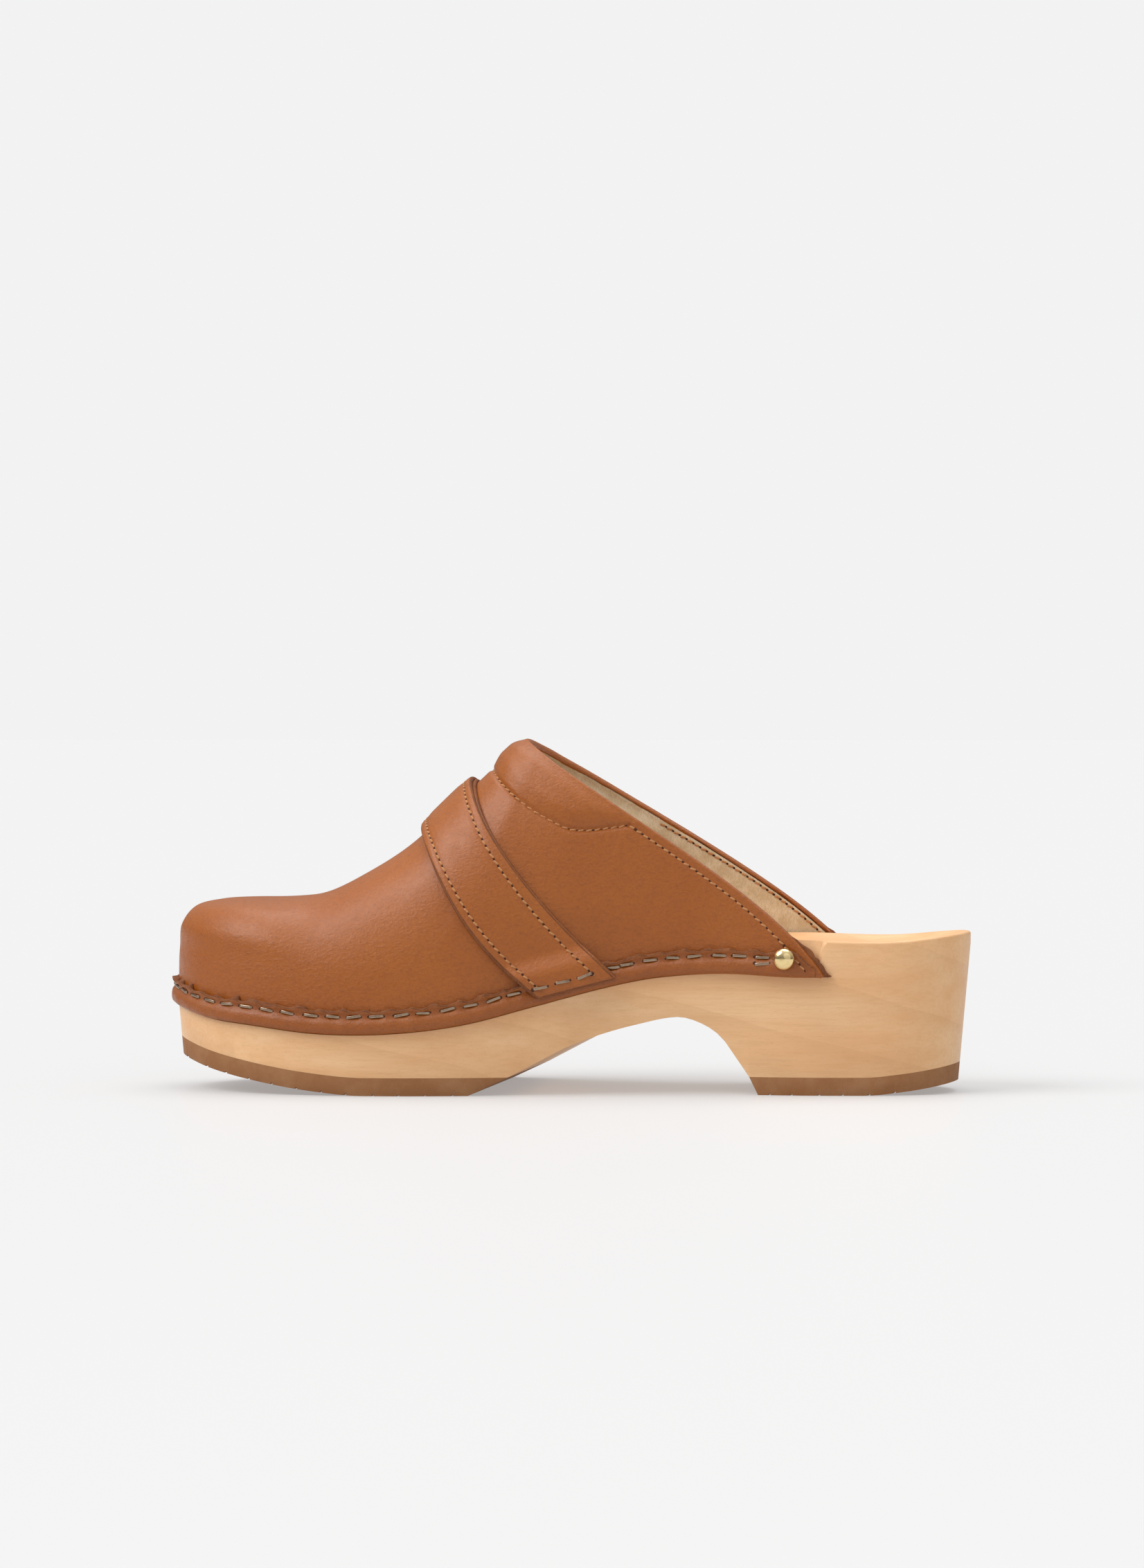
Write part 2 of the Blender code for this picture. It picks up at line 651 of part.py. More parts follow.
def welt_range():
    start = plan_distance(wing_tip(-1) - 0.006, -1)
    end = plan_distance(wing_tip(1) - 0.006, 1)
    return start, end


def build_welt(parts):
    start, end = welt_range()
    rings = []
    for i in range(WELT_STATIONS + 1):
        distance = start + (end - start) * i / WELT_STATIONS
        point, normal = on_plan(distance)
        side = -1 if point.y < 0 else 1
        bottom = ledge_height(point.x) + CLEARANCE
        out = proud(point.x, side)
        section = [(WELT_GAP, 0.95 * WELT_HEIGHT), (WELT_GAP, 0.05 * WELT_HEIGHT)]
        section += [(n * WELT_BULGE, h * WELT_HEIGHT) for n, h in WELT_SECTION]
        rings.append([Vector((point.x + normal.x * (out + n), point.y + normal.y * (out + n), bottom + h))
                      for n, h in section])
    shape = loft(rings, closed=True, capped=True)
    bmesh.ops.recalc_face_normals(shape, faces=shape.faces)
    return add_object("welt_strip", shape, "cognac_leather", parts)


# ---- fasteners ----------------------------------------------------------------------------
STAPLE_LEVEL = 0.74       # height of the staples on the welt, as a share of WELT_HEIGHT
CROWN_SEAT = 0.0016       # the crowns' inner face, out from the upper's hem


def staple_places():
    """Distances along the outline, from the medial wing round the toe."""
    first = welt_range()[0] + 0.006 + STUD_DIAMETER
    return [first + STAPLE_PITCH * i for i in range(STAPLE_COUNT)]


def on_strap(distance):
    """True where a staple at this distance goes through the strap's end."""
    point, _ = on_plan(distance)
    side = -1 if point.y < 0 else 1
    feet = [rib_ends(rib_of_ridge(x, side))[2] for x in (STRAP_FRONT, STRAP_REAR)]
    margin = STAPLE_CROWN / 2 + BACKING_MARGIN
    return feet[0] + 0.5 * margin < point.x < feet[1] - 0.5 * margin


def fastener_frame(distance, seat):
    """Origin, direction along the welt and outward direction for a fastener."""
    point, normal = on_plan(distance)
    side = -1 if point.y < 0 else 1
    out = seat + proud(point.x, side)
    height = ledge_height(point.x) + CLEARANCE + STAPLE_LEVEL * WELT_HEIGHT
    origin = Vector((point.x + normal.x * out, point.y + normal.y * out, height))
    before, after = ledge_height(point.x - 0.002), ledge_height(point.x + 0.002)
    tangent = Vector((-normal.y, normal.x, 0.0))
    tangent.z = (after - before) / 0.004 * tangent.x
    return origin, tangent.normalized(), Vector((normal.x, normal.y, 0.0))


def oriented_prism(origin, along, out, outline, width):
    """An outline in the plane of along and out, given a width across them."""
    across = along.cross(out).normalized()
    shape = bmesh.new()
    ring = [shape.verts.new(origin + along * a + out * o - across * width / 2) for a, o in outline]
    face = shape.faces.new(ring)
    extruded = bmesh.ops.extrude_face_region(shape, geom=[face])
    moved = [item for item in extruded["geom"] if isinstance(item, bmesh.types.BMVert)]
    bmesh.ops.translate(shape, verts=moved, vec=across * width)
    bmesh.ops.recalc_face_normals(shape, faces=shape.faces)
    return shape


def staple_seat(distance):
    if on_strap(distance):
        return WELT_BULGE + 3 * CLEARANCE + BACKING + STRAP + CLEARANCE
    return CROWN_SEAT


def build_staples(parts):
    """Each staple is a square-shouldered U; returns one joined cutter for their slots."""
    slots = bmesh.new()
    half = STAPLE_CROWN / 2
    for number, distance in enumerate(staple_places(), start=1):
        seat = staple_seat(distance)
        leg = STAPLE_LEG + seat - CROWN_SEAT
        outline = [(-half, -leg), (-half, STAPLE_THICKNESS), (half, STAPLE_THICKNESS), (half, -leg),
                   (half - STAPLE_THICKNESS, -leg), (half - STAPLE_THICKNESS, 0.0),
                   (STAPLE_THICKNESS - half, 0.0), (STAPLE_THICKNESS - half, -leg)]
        frame = fastener_frame(distance, seat)
        add_object(f"staple_{number:02d}", oriented_prism(*frame, outline, STAPLE_WIDTH),
                   "galvanised_wire", parts)
        reach = half + CLEARANCE
        slot = [(-reach, -leg - CLEARANCE), (-reach, 0.002), (reach, 0.002), (reach, -leg - CLEARANCE)]
        cut = oriented_prism(*frame, slot, STAPLE_WIDTH + 2 * CLEARANCE)
        mesh = bpy.data.meshes.new("slot")
        cut.to_mesh(mesh)
        cut.free()
        slots.from_mesh(mesh)
        bpy.data.meshes.remove(mesh)
    return slots


def stud_place(side):
    return plan_distance(wing_tip(side) - 0.0120, side)


def build_stud(name, side, parts, cutters):
    """A domed head turned on its shank; returns its hole cutter."""
    radius = STUD_DIAMETER / 2
    dome = [(radius * math.cos(a), STUD_HEIGHT * math.sin(a))
            for a in (math.radians(d) for d in (90, 68, 45, 22, 0))]
    dome[0] = (0.0, STUD_HEIGHT)
    profile = dome + [(radius * 0.93, -0.0002), (STUD_SHANK / 2, -0.0002),
                      (STUD_SHANK / 2, 0.001 - STUD_SHANK_LENGTH), (0.0, -STUD_SHANK_LENGTH)]
    shape = bmesh.new()
    verts = [shape.verts.new((r, 0.0, z)) for r, z in profile]
    for a, b in zip(verts, verts[1:]):
        shape.edges.new((a, b))
    made = add_object(name, shape, "polished_brass", parts)
    turn = made.modifiers.new("turn", "SCREW")
    turn.steps = turn.render_steps = 20
    turn.use_merge_vertices = True
    turn.merge_threshold = 0.00001
    seat = WELT_BULGE + CLEARANCE + 0.0002
    origin, along, out = fastener_frame(stud_place(side), seat)
    turned = out.to_track_quat("Z", "Y")
    made.rotation_mode = "QUATERNION"
    made.rotation_quaternion = turned
    made.location = origin
    hole = bmesh.new()
    bmesh.ops.create_cone(hole, cap_ends=True, segments=12, radius1=STUD_SHANK / 2 + CLEARANCE,
                          radius2=STUD_SHANK / 2 + CLEARANCE, depth=STUD_SHANK_LENGTH + 0.0024)
    cutter = add_object(name + "_hole", hole, None, cutters)
    cutter.rotation_mode = "QUATERNION"
    cutter.rotation_quaternion = turned
    cutter.location = origin - out * (STUD_SHANK_LENGTH / 2)
    return cutter


def stand_on_ground(parts, cutters):
    """Centre the shoe over the origin, moving pieces and cutters together."""
    bpy.context.view_layer.update()
    graph = bpy.context.evaluated_depsgraph_get()
    corners = []
    for item in parts.objects:
        solid = item.evaluated_get(graph)
        corners += [item.matrix_world @ vertex.co for vertex in solid.data.vertices]
    middle = [(min(c[k] for c in corners) + max(c[k] for c in corners)) / 2 for k in range(2)]
    shift = Vector((-middle[0], -middle[1], -min(c[2] for c in corners)))
    for item in list(parts.objects) + list(cutters.objects):
        item.location += shift


def main():
    clear_scene()
    parts = collection("wooden_clog")
    cutters = collection("cutters")
    sole = build_sole(parts, cutters)
    upper, lining = build_upper(parts)
    backing, strap = build_strap(parts)
    welt = build_welt(parts)
    slots = add_object("staple_slots", build_staples(parts), None, cutters)
    holes = [build_stud("stud_medial", -1, parts, cutters), build_stud("stud_lateral", 1, parts, cutters)]
    for layer in (sole, upper, lining, welt, backing, strap):
        boolean(layer, slots, "DIFFERENCE")
    for layer in (sole, upper, lining, welt):
        for hole in holes:
            boolean(layer, hole, "DIFFERENCE")
    stand_on_ground(parts, cutters)


main()
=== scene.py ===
"""The looks of a right-foot wooden clog: leather upper, rolled welt, staples, strap, studs and treads.

Every piece is built from the shape of the last, a set of side lines and a plan outline, and is placed
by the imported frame. Lengths are in metres. Toe towards -X, heel towards +X, medial side towards -Y.
"""

import logging
import math
from contextlib import contextmanager
from dataclasses import dataclass
from enum import Enum
from functools import cached_property
from typing import Iterable, Iterator, Sequence

import bmesh
import bpy
import numpy as np
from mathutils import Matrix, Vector
from mathutils.kdtree import KDTree


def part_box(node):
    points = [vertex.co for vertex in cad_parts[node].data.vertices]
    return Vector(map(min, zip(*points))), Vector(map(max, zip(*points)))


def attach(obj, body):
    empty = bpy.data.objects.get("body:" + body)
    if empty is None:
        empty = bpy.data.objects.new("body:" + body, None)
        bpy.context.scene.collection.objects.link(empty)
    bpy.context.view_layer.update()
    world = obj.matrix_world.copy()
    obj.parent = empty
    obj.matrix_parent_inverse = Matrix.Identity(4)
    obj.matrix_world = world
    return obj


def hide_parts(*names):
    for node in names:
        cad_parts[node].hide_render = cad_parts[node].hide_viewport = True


Array = np.ndarray
Piece = bpy.types.Object
Tree = bpy.types.NodeTree
Socket = bpy.types.NodeSocket

LOG = logging.getLogger("clog")
BODY = "root"              # the row's only body
SIDES = (-1.0, 1.0)        # medial, lateral
UP = np.array((0.0, 0.0, 1.0))
MM = 0.001                 # a millimetre in the frame's metres

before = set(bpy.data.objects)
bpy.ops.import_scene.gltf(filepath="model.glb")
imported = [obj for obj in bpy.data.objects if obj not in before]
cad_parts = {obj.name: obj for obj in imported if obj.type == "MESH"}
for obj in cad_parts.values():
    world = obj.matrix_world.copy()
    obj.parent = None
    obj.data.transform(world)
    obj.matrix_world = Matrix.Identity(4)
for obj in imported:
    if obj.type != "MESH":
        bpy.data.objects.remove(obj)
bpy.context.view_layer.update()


# ---- small tools --------------------------------------------------------------------------
def ease(value: Array, start: float, end: float) -> Array:
    """A smooth step from 0, up to start, to 1, from end."""
    s = np.clip((value - start) / (end - start), 0.0, 1.0)
    return s * s * (3 - 2 * s)


@dataclass(frozen=True)
class SmoothLine:
    """A line through points with no corners at them (cubic Hermite spans)."""

    points: tuple[tuple[float, float], ...]
    across: float = 1.0
    up: float = 1.0
    base: float = 0.0

    def __call__(self, x: Array) -> Array:
        """Heights of the line at x, held level past its two ends.

        Args:
            x: places along the line.

        Returns:
            A height for each.
        """
        xs = np.array([p[0] for p in self.points]) * self.across
        ys = np.array([p[1] for p in self.points]) * self.up + self.base
        before = np.maximum(np.arange(len(xs)) - 1, 0)
        after = np.minimum(np.arange(len(xs)) + 1, len(xs) - 1)
        slopes = (ys[after] - ys[before]) / (xs[after] - xs[before])
        x = np.clip(x, xs[0], xs[-1])
        i = np.clip(np.searchsorted(xs, x, side="right") - 1, 0, len(xs) - 2)
        span = xs[i + 1] - xs[i]
        s = (x - xs[i]) / span
        return ((2 * s**3 - 3 * s**2 + 1) * ys[i] + (s**3 - 2 * s**2 + s) * span * slopes[i]
                + (3 * s**2 - 2 * s**3) * ys[i + 1] + (s**3 - s**2) * span * slopes[i + 1])


def waver(x: Array, seed: int, pitch: float) -> Array:
    """Smooth seeded noise along a line.

    Args:
        x: places along the line.
        seed: which noise.
        pitch: distance between its independent values.

    Returns:
        Values from about -1 to 1.
    """
    table = np.random.default_rng(seed).uniform(-1.0, 1.0, 4096)
    place = np.asarray(x) / pitch + 1000.0
    low = np.floor(place).astype(int)
    s = place - low
    s = s * s * (3 - 2 * s)
    return table[low % 4096] * (1 - s) + table[(low + 1) % 4096] * s


# ---- the shape of the clog ----------------------------------------------------------------
PLAN = (
    (1.000, 0.000), (0.981, -0.185), (0.925, -0.288), (0.820, -0.330), (0.705, -0.320),
    (0.590, -0.337), (0.477, -0.397), (0.370, -0.465), (0.270, -0.495), (0.172, -0.473),
    (0.092, -0.402), (0.034, -0.272), (0.004, -0.110), (0.004, 0.060), (0.032, 0.225),
    (0.086, 0.358), (0.172, 0.456), (0.275, 0.505), (0.382, 0.511), (0.497, 0.473),
    (0.610, 0.424), (0.725, 0.375), (0.820, 0.348), (0.925, 0.300), (0.981, 0.190),
)
RIM = ((-0.008, 0.88), (0.073, 0.74), (0.184, 0.63), (0.305, 0.63), (0.416, 0.74),
       (0.526, 0.88), (0.647, 0.97), (0.778, 1.00), (0.899, 0.99), (1.000, 1.04))
LEDGE = ((-0.008, 0.575), (0.053, 0.484), (0.113, 0.445), (0.204, 0.395), (0.295, 0.40),
         (0.380, 0.455), (0.466, 0.57), (0.557, 0.695), (0.617, 0.755), (0.698, 0.782),
         (0.788, 0.762), (0.879, 0.78), (0.950, 0.87), (1.000, 0.97))
RIDGE = ((-0.008, 0.1717), (0.073, 0.1913), (0.149, 0.1949), (0.194, 0.2234), (0.244, 0.3249),
         (0.300, 0.4727), (0.355, 0.6794), (0.391, 0.8165), (0.418, 0.9252), (0.436, 0.9858),
         (0.496, 1.1247), (0.647, 1.5344), (0.899, 2.0688))
TOE_SPRING = ((-0.028, 0.259), (0.018, 0.214), (0.066, 0.150), (0.133, 0.081), (0.194, 0.032),
              (0.264, 0.0), (0.446, 0.0))
HEEL_SPRING = ((0.597, 0.0), (0.879, 0.0), (0.924, 0.022), (0.960, 0.050), (1.030, 0.124))
ARCH = ((0.511, 0.304), (0.552, 0.386), (0.597, 0.452), (0.648, 0.502), (0.677, 0.462),
        (0.701, 0.378), (0.716, 0.270))


@dataclass
class LastShape:
    """The clog's last: plan outline, side lines and the upper's surface round the foot."""

    length: float = 0.260
    ball_width: float = 0.092
    heel_height: float = 0.050
    instep_height: float = 0.114
    clearance: float = 0.0003
    proud_tips: float = 0.0022
    tip_reach: float = 0.055
    wing_tip_medial: float = 0.8216
    wing_tip_lateral: float = 0.858
    toe_pole: float = 0.104
    ridge_peak: float = 0.4437
    strap_width: float = 0.0157
    strap_setback: float = 0.0164
    ridge_offset: float = -0.035
    fan_share: float = 0.2
    toe_bulge: float = 0.0010

    def __post_init__(self) -> None:
        """Works out the outline, the side lines and the rib tables once."""
        self.rim = SmoothLine(RIM, self.length, self.heel_height)
        self.ledge = SmoothLine(LEDGE, self.length, self.heel_height)
        instep = self.instep_height - self.heel_height
        self.ridge = SmoothLine(RIDGE, self.length, instep, self.heel_height)
        pole, peak = self.toe_pole * self.length, self.ridge_peak * self.length
        self.pole, self.peak = pole, peak
        self.strap_rear = peak - self.strap_setback
        self.strap_front = self.strap_rear - self.strap_width
        self.tilt = SmoothLine(((pole, 0.0), (0.2115 * self.length, 0.0769 * self.length),
                                (self.strap_front, 0.1615 * self.length),
                                (self.strap_rear, 0.1885 * self.length),
                                (peak, float(self.wing_tip(-1.0) - peak))))
        self.lean, self.sway = (
            SmoothLine(tuple(zip((pole, self.strap_front, self.strap_rear, peak), values)))
            for values in ((1.0, 0.42, 0.50, 1.27), (0.0, -0.5, 0.2, 0.46)))
        self.round_z = SmoothLine(((0.0, 5.0), (0.077, 5.0), (0.231, 3.0), (0.385, 2.2), (1.154, 2.2)),
                                  self.length)
        self.round_y = SmoothLine(((0.0, 3.2), (0.077, 3.2), (0.231, 2.6), (0.385, 2.1), (1.154, 2.1)),
                                  self.length)
        self._trace_plan()
        self._tabulate_ribs()
        low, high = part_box("wooden_sole")
        middle = (self.loop.min(axis=0) + self.loop.max(axis=0)) / 2
        self.origin = np.array([(low.x + high.x) / 2 - middle[0], (low.y + high.y) / 2 - middle[1], 0.0])

    def _trace_plan(self, per_span: int = 24) -> None:
        """Closed outline through the plan's points, with its arc length and normals.

        Args:
            per_span: points between two knots.
        """
        knots = np.array(PLAN) * (self.length, self.ball_width)
        s = np.arange(per_span)[:, None] / per_span
        spans = []
        for i in range(len(knots)):
            p0, p1, p2, p3 = (knots[(i + k) % len(knots)] for k in (-1, 0, 1, 2))
            spans.append(0.5 * (2 * p1 + (p2 - p0) * s + (2 * p0 - 5 * p1 + 4 * p2 - p3) * s**2
                                + (3 * p1 - p0 - 3 * p2 + p3) * s**3))
        loop = np.concatenate(spans)
        ahead = np.roll(loop, -1, axis=0)
        steps = np.linalg.norm(ahead - loop, axis=1)
        self.arc = np.concatenate([[0.0], np.cumsum(steps)])
        self.perimeter = float(self.arc[-1])
        tangent = ahead - np.roll(loop, 1, axis=0)
        tangent /= np.linalg.norm(tangent, axis=1)[:, None]
        normal = np.stack([-tangent[:, 1], tangent[:, 0]], axis=1)
        self.loop = np.vstack([loop, loop[:1]])
        self.loop_normal = np.vstack([normal, normal[:1]])
        self.toe_index = int(np.argmin(loop[:, 0]))
        medial = self.loop[: self.toe_index + 1][::-1]
        lateral = self.loop[self.toe_index:]
        self.edges = {-1.0: medial, 1.0: lateral}
        self.edge_arcs = {-1.0: self.arc[: self.toe_index + 1][::-1], 1.0: self.arc[self.toe_index:]}

    def _tabulate_ribs(self) -> None:
        """Ridge places and the welt places that they lean to, for both sides."""
        self.rib_ridges = np.linspace(self.pole, self.peak, 400)
        self.rib_feet = {side: self.rib_ridges + self.reach_of(self.rib_ridges, side) for side in SIDES}

    def wing_tip(self, side: Array) -> Array:
        """Where the topline meets the welt on a side (-1 medial, 1 lateral)."""
        return np.where(np.asarray(side) < 0, self.wing_tip_medial, self.wing_tip_lateral) * self.length

    def reach_of(self, ridge: Array, side: float) -> Array:
        """How far behind its ridge place a rib meets the welt."""
        longer = (self.wing_tip(1.0) - self.wing_tip(-1.0)) * ease(ridge, self.strap_rear, self.peak)
        return self.tilt(ridge) + (longer if side > 0 else 0.0)

    def on_plan(self, distance: Array) -> tuple[Array, Array]:
        """Points and outward normals of the outline at distances from the heel's centre.

        Args:
            distance: along the outline.

        Returns:
            Points and normals, one row each.
        """
        distance = np.mod(distance, self.perimeter)
        point, normal = (np.stack([np.interp(distance, self.arc, column) for column in table.T], axis=-1)
                         for table in (self.loop, self.loop_normal))
        return point, normal / np.linalg.norm(normal, axis=-1, keepdims=True)

    def plan_distance(self, along: Array, side: float) -> Array:
        """Distance along the outline of the place on one side."""
        return np.interp(along, self.edges[side][:, 0], self.edge_arcs[side])

    def edge_y(self, along: Array, side: Array) -> Array:
        """Y of the outline on the given sides, with the wing tips standing proud."""
        medial, lateral = (np.interp(along, *self.edges[name].T) for name in SIDES)
        return np.where(side < 0, medial, lateral) + side * self.proud(along, side)

    def proud(self, along: Array, side: Array) -> Array:
        """How far the upper stands out from the wood's side: only near its two tips."""
        return self.proud_tips * ease(along - self.wing_tip(side), -self.tip_reach, 0.0)

    def ridge_y(self, along: Array) -> Array:
        """Y of the ridge line."""
        return self.ridge_offset * self.ball_width * ease(along, 0.0, 0.4 * self.length)

    def rib_ends(self, q: Array) -> tuple[Array, Array, Array]:
        """Ridge place, welt place and outline distance of ribs (-1 medial topline, 1 lateral).

        Args:
            q: rib numbers.

        Returns:
            Upper end and lower end along the shoe, and distance along the outline.
        """
        pole = self.pole
        share = np.abs(q)
        toe = self.arc[self.toe_index]
        foot, ridge, distance = (np.empty_like(share) for _ in range(3))
        for side in SIDES:
            mine = (q < 0) if side < 0 else (q >= 0)
            corner = self.plan_distance(pole, side)
            fan = mine & (share <= self.fan_share)
            distance[fan] = toe + (corner - toe) * share[fan] / self.fan_share
            foot[fan] = self.on_plan(distance[fan])[0][:, 0]
            ridge[fan] = pole
            hoop = mine & (share > self.fan_share)
            part = (share[hoop] - self.fan_share) / (1 - self.fan_share)
            foot[hoop] = pole + (self.wing_tip(side) - pole) * part
            ridge[hoop] = np.interp(foot[hoop], self.rib_feet[side], self.rib_ridges)
            distance[hoop] = self.plan_distance(foot[hoop], side)
        return ridge, foot, distance

    def rib_of_ridge(self, along: Array, side: float) -> Array:
        """Rib numbers whose upper ends are at these places on the ridge, on one side."""
        behind = along + self.reach_of(np.asarray(along, float), side) - self.pole
        whole = self.wing_tip(side) - self.pole
        return side * (self.fan_share + (1 - self.fan_share) * behind / whole)

    def surface(self, q: Array, v: Array) -> Array:
        """Outer face of the upper.

        Args:
            q: rib numbers.
            v: place on each rib, from the welt (0) up to the ridge (1).

        Returns:
            Points, one row each.
        """
        q, v = (np.ravel(a).astype(float) for a in np.broadcast_arrays(q, v))
        side = np.where(q < 0, -1.0, 1.0)
        ridge, foot, distance = self.rib_ends(q)
        fan = np.abs(q) <= self.fan_share
        angle = np.clip(v, 0.0, 1.0) * math.pi / 2
        bottom = self.ledge(foot) + self.clearance
        power = np.where(fan, self.round_z(foot), self.round_z(ridge))
        rise = np.sin(angle) ** (2 / power)
        height = bottom + (self.ridge(ridge) - bottom) * rise
        base, _ = self.on_plan(distance)
        middle = self.ridge_y(ridge)
        cosine = np.where(v < 1, np.abs(np.cos(angle)), 0.0)
        fan_reach = cosine ** (2 / self.round_y(foot))
        fan_x = ridge + (base[:, 0] - ridge) * fan_reach
        fan_y = middle + (base[:, 1] - middle) * fan_reach
        drop = 1 - rise
        lean = self.lean(ridge)
        sway = self.sway(ridge) * drop * rise * (drop - 0.52)
        hoop_x = ridge + (foot - ridge) * (lean * drop + (1 - lean) * drop * drop + sway)
        local = self.ledge(hoop_x) + self.clearance
        share = np.clip((height - local) / (self.ridge(hoop_x) - local), 0.0, 1.0)
        reach = np.where(v < 1, (1 - share ** self.round_z(hoop_x)) ** (1 / self.round_y(hoop_x)), 0.0)
        centre = self.ridge_y(hoop_x)
        hoop_y = centre + (self.edge_y(hoop_x, side) - centre) * reach
        return np.stack([np.where(fan, fan_x, hoop_x), np.where(fan, fan_y, hoop_y), height], axis=1)

    def normals(self, q: Array, v: Array) -> Array:
        """Outward unit normals of the surface.

        Args:
            q: rib numbers.
            v: place on each rib, from 0 to 1.

        Returns:
            Unit vectors, one row each.
        """
        q, v = (np.ravel(a).astype(float) for a in np.broadcast_arrays(q, v))
        step = 0.004
        low_v = np.minimum(v, 1 - 2 * step)
        across = self.surface(np.minimum(q + step, 1.0), low_v)
        across -= self.surface(np.maximum(q - step, -1.0), low_v)
        upward = self.surface(q, low_v + step) - self.surface(q, np.maximum(low_v - step, 0.0))
        normal = np.cross(upward, across)
        ridge, _, _ = self.rib_ends(q)
        slope = (self.ridge(ridge + 0.001) - self.ridge(ridge - 0.001)) / 0.002
        slope = np.where(np.abs(q) <= self.fan_share, 0.0, slope)
        top = np.stack([-slope, np.zeros_like(slope), np.ones_like(slope)], axis=1)
        normal = np.where((v >= 1 - step)[:, None], top, normal)
        normal[:, 2] = np.where(v < 0.05, 0.0, normal[:, 2])
        return normal / np.linalg.norm(normal, axis=1, keepdims=True)


# ---- finishes -----------------------------------------------------------------------------
def linear(code: str) -> tuple[float, float, float, float]:
    """Turns an sRGB hex colour into a linear one.

    Args:
        code: the colour, as #rrggbb.

    Returns:
        Red, green, blue and alpha 1.
    """
    parts = [int(code[i:i + 2], 16) / 255 for i in (1, 3, 5)]
    red, green, blue = (c / 12.92 if c <= 0.04045 else ((c + 0.055) / 1.055) ** 2.4 for c in parts)
    return red, green, blue, 1.0


def add(tree: Tree, kind: str, sockets: dict | None = None, **settings: object) -> bpy.types.Node:
    """Adds a node with its settings and links.

    Args:
        tree: the node tree.
        kind: the node's type name.
        sockets: input name or number to a value, or to an output socket that it is linked from.
        settings: the node's own properties.

    Returns:
        The new node.
    """
    node = tree.nodes.new(kind)
    for key, value in settings.items():
        setattr(node, key, value)
    for key, value in (sockets or {}).items():
        if isinstance(value, Socket):
            tree.links.new(value, node.inputs[key])
        else:
            node.inputs[key].default_value = value
    return node


@dataclass(frozen=True)
class Finish:
    """A material's name and its shader's constants; each kind adds its own pattern."""

    name: str
    colour: str = "#808080"
    roughness: float = 0.5
    metallic: float = 0.0
    ior: float = 1.5

    def pattern(self, tree: Tree, place: Socket) -> dict:
        """Shader inputs that the finish's own nodes drive."""
        raise NotImplementedError

    def constants(self) -> dict:
        """Shader inputs that are the same all over the surface."""
        return {}

    def uneven(self, tree: Tree, value: Socket, glossier: float) -> Socket:
        """Roughness from a little glossier to 0.08 duller, following a pattern."""
        return spread(tree, value, self.roughness - glossier, self.roughness + 0.08, 0.3, 0.7)

    def material(self) -> bpy.types.Material:
        """The finish as a material, made once.

        Returns:
            The material, shared by all pieces of this finish.
        """
        if self.name in bpy.data.materials and bpy.data.materials[self.name].get("clog_finish"):
            return bpy.data.materials[self.name]
        made = bpy.data.materials.new(self.name)
        made["clog_finish"] = True
        made.use_nodes = True
        tree = made.node_tree
        tree.nodes.clear()
        place = add(tree, "ShaderNodeTexCoord").outputs["Object"]
        sockets = {"Base Color": linear(self.colour), "Roughness": self.roughness,
                   "Metallic": self.metallic}
        if self.metallic == 0.0:
            sockets["IOR"] = self.ior
        sockets.update(self.constants())
        sockets.update(self.pattern(tree, place))
        shader = add(tree, "ShaderNodeBsdfPrincipled", sockets)
        add(tree, "ShaderNodeOutputMaterial", {"Surface": shader.outputs["BSDF"]})
        return made


def noise(tree: Tree, place: Socket, size: float, detail: float = 3.0,
          roughness: float = 0.5) -> Socket:
    """Noise whose blotches are about size metres across."""
    return add(tree, "ShaderNodeTexNoise", {"Vector": place, "Scale": 1 / size, "Detail": detail,
                                            "Roughness": roughness}).outputs["Fac"]


def spread(tree: Tree, value: Socket, low: float, high: float,
           start: float = 0.0, end: float = 1.0) -> Socket:
    """Maps a value from start..end to low..high."""
    return add(tree, "ShaderNodeMapRange", {"Value": value, "From Min": start, "From Max": end,
                                            "To Min": low, "To Max": high}).outputs["Result"]


def blend_colours(tree: Tree, value: Socket, first: str | Socket, second: str | Socket,
                  limits: Sequence[float]) -> Socket:
    """Mixes two colours, each a socket or a hex value.

    Args:
        tree: the node tree.
        value: what says how much of the second colour there is.
        first: one colour.
        second: the other.
        limits: least and most of the second colour, then the values that they belong to.

    Returns:
        The mixed colour.
    """
    first, second = (linear(tone) if isinstance(tone, str) else tone for tone in (first, second))
    return add(tree, "ShaderNodeMix", {0: spread(tree, value, *limits), 6: first, 7: second},
               data_type="RGBA").outputs[2]


def bump(tree: Tree, height: Socket, strength: float, depth: float,
         under: Socket | None = None) -> Socket:
    """A bump of a real depth in metres, laid over another one.

    Args:
        tree: the node tree.
        height: what rises.
        strength: 0 to 1.
        depth: metres from low to high.
        under: a normal already bumped.

    Returns:
        The bumped normal.
    """
    sockets = {"Height": height, "Strength": strength, "Distance": depth}
    if under is not None:
        sockets["Normal"] = under
    return add(tree, "ShaderNodeBump", sockets).outputs["Normal"]


def stretched(tree: Tree, place: Socket, scale: tuple[float, float, float],
              turn: tuple[float, float, float] = (0.0, 0.0, 0.0)) -> Socket:
    """Coordinates turned and scaled, so a pattern runs along one way."""
    return add(tree, "ShaderNodeMapping", {"Vector": place, "Scale": scale,
                                           "Rotation": turn}).outputs["Vector"]


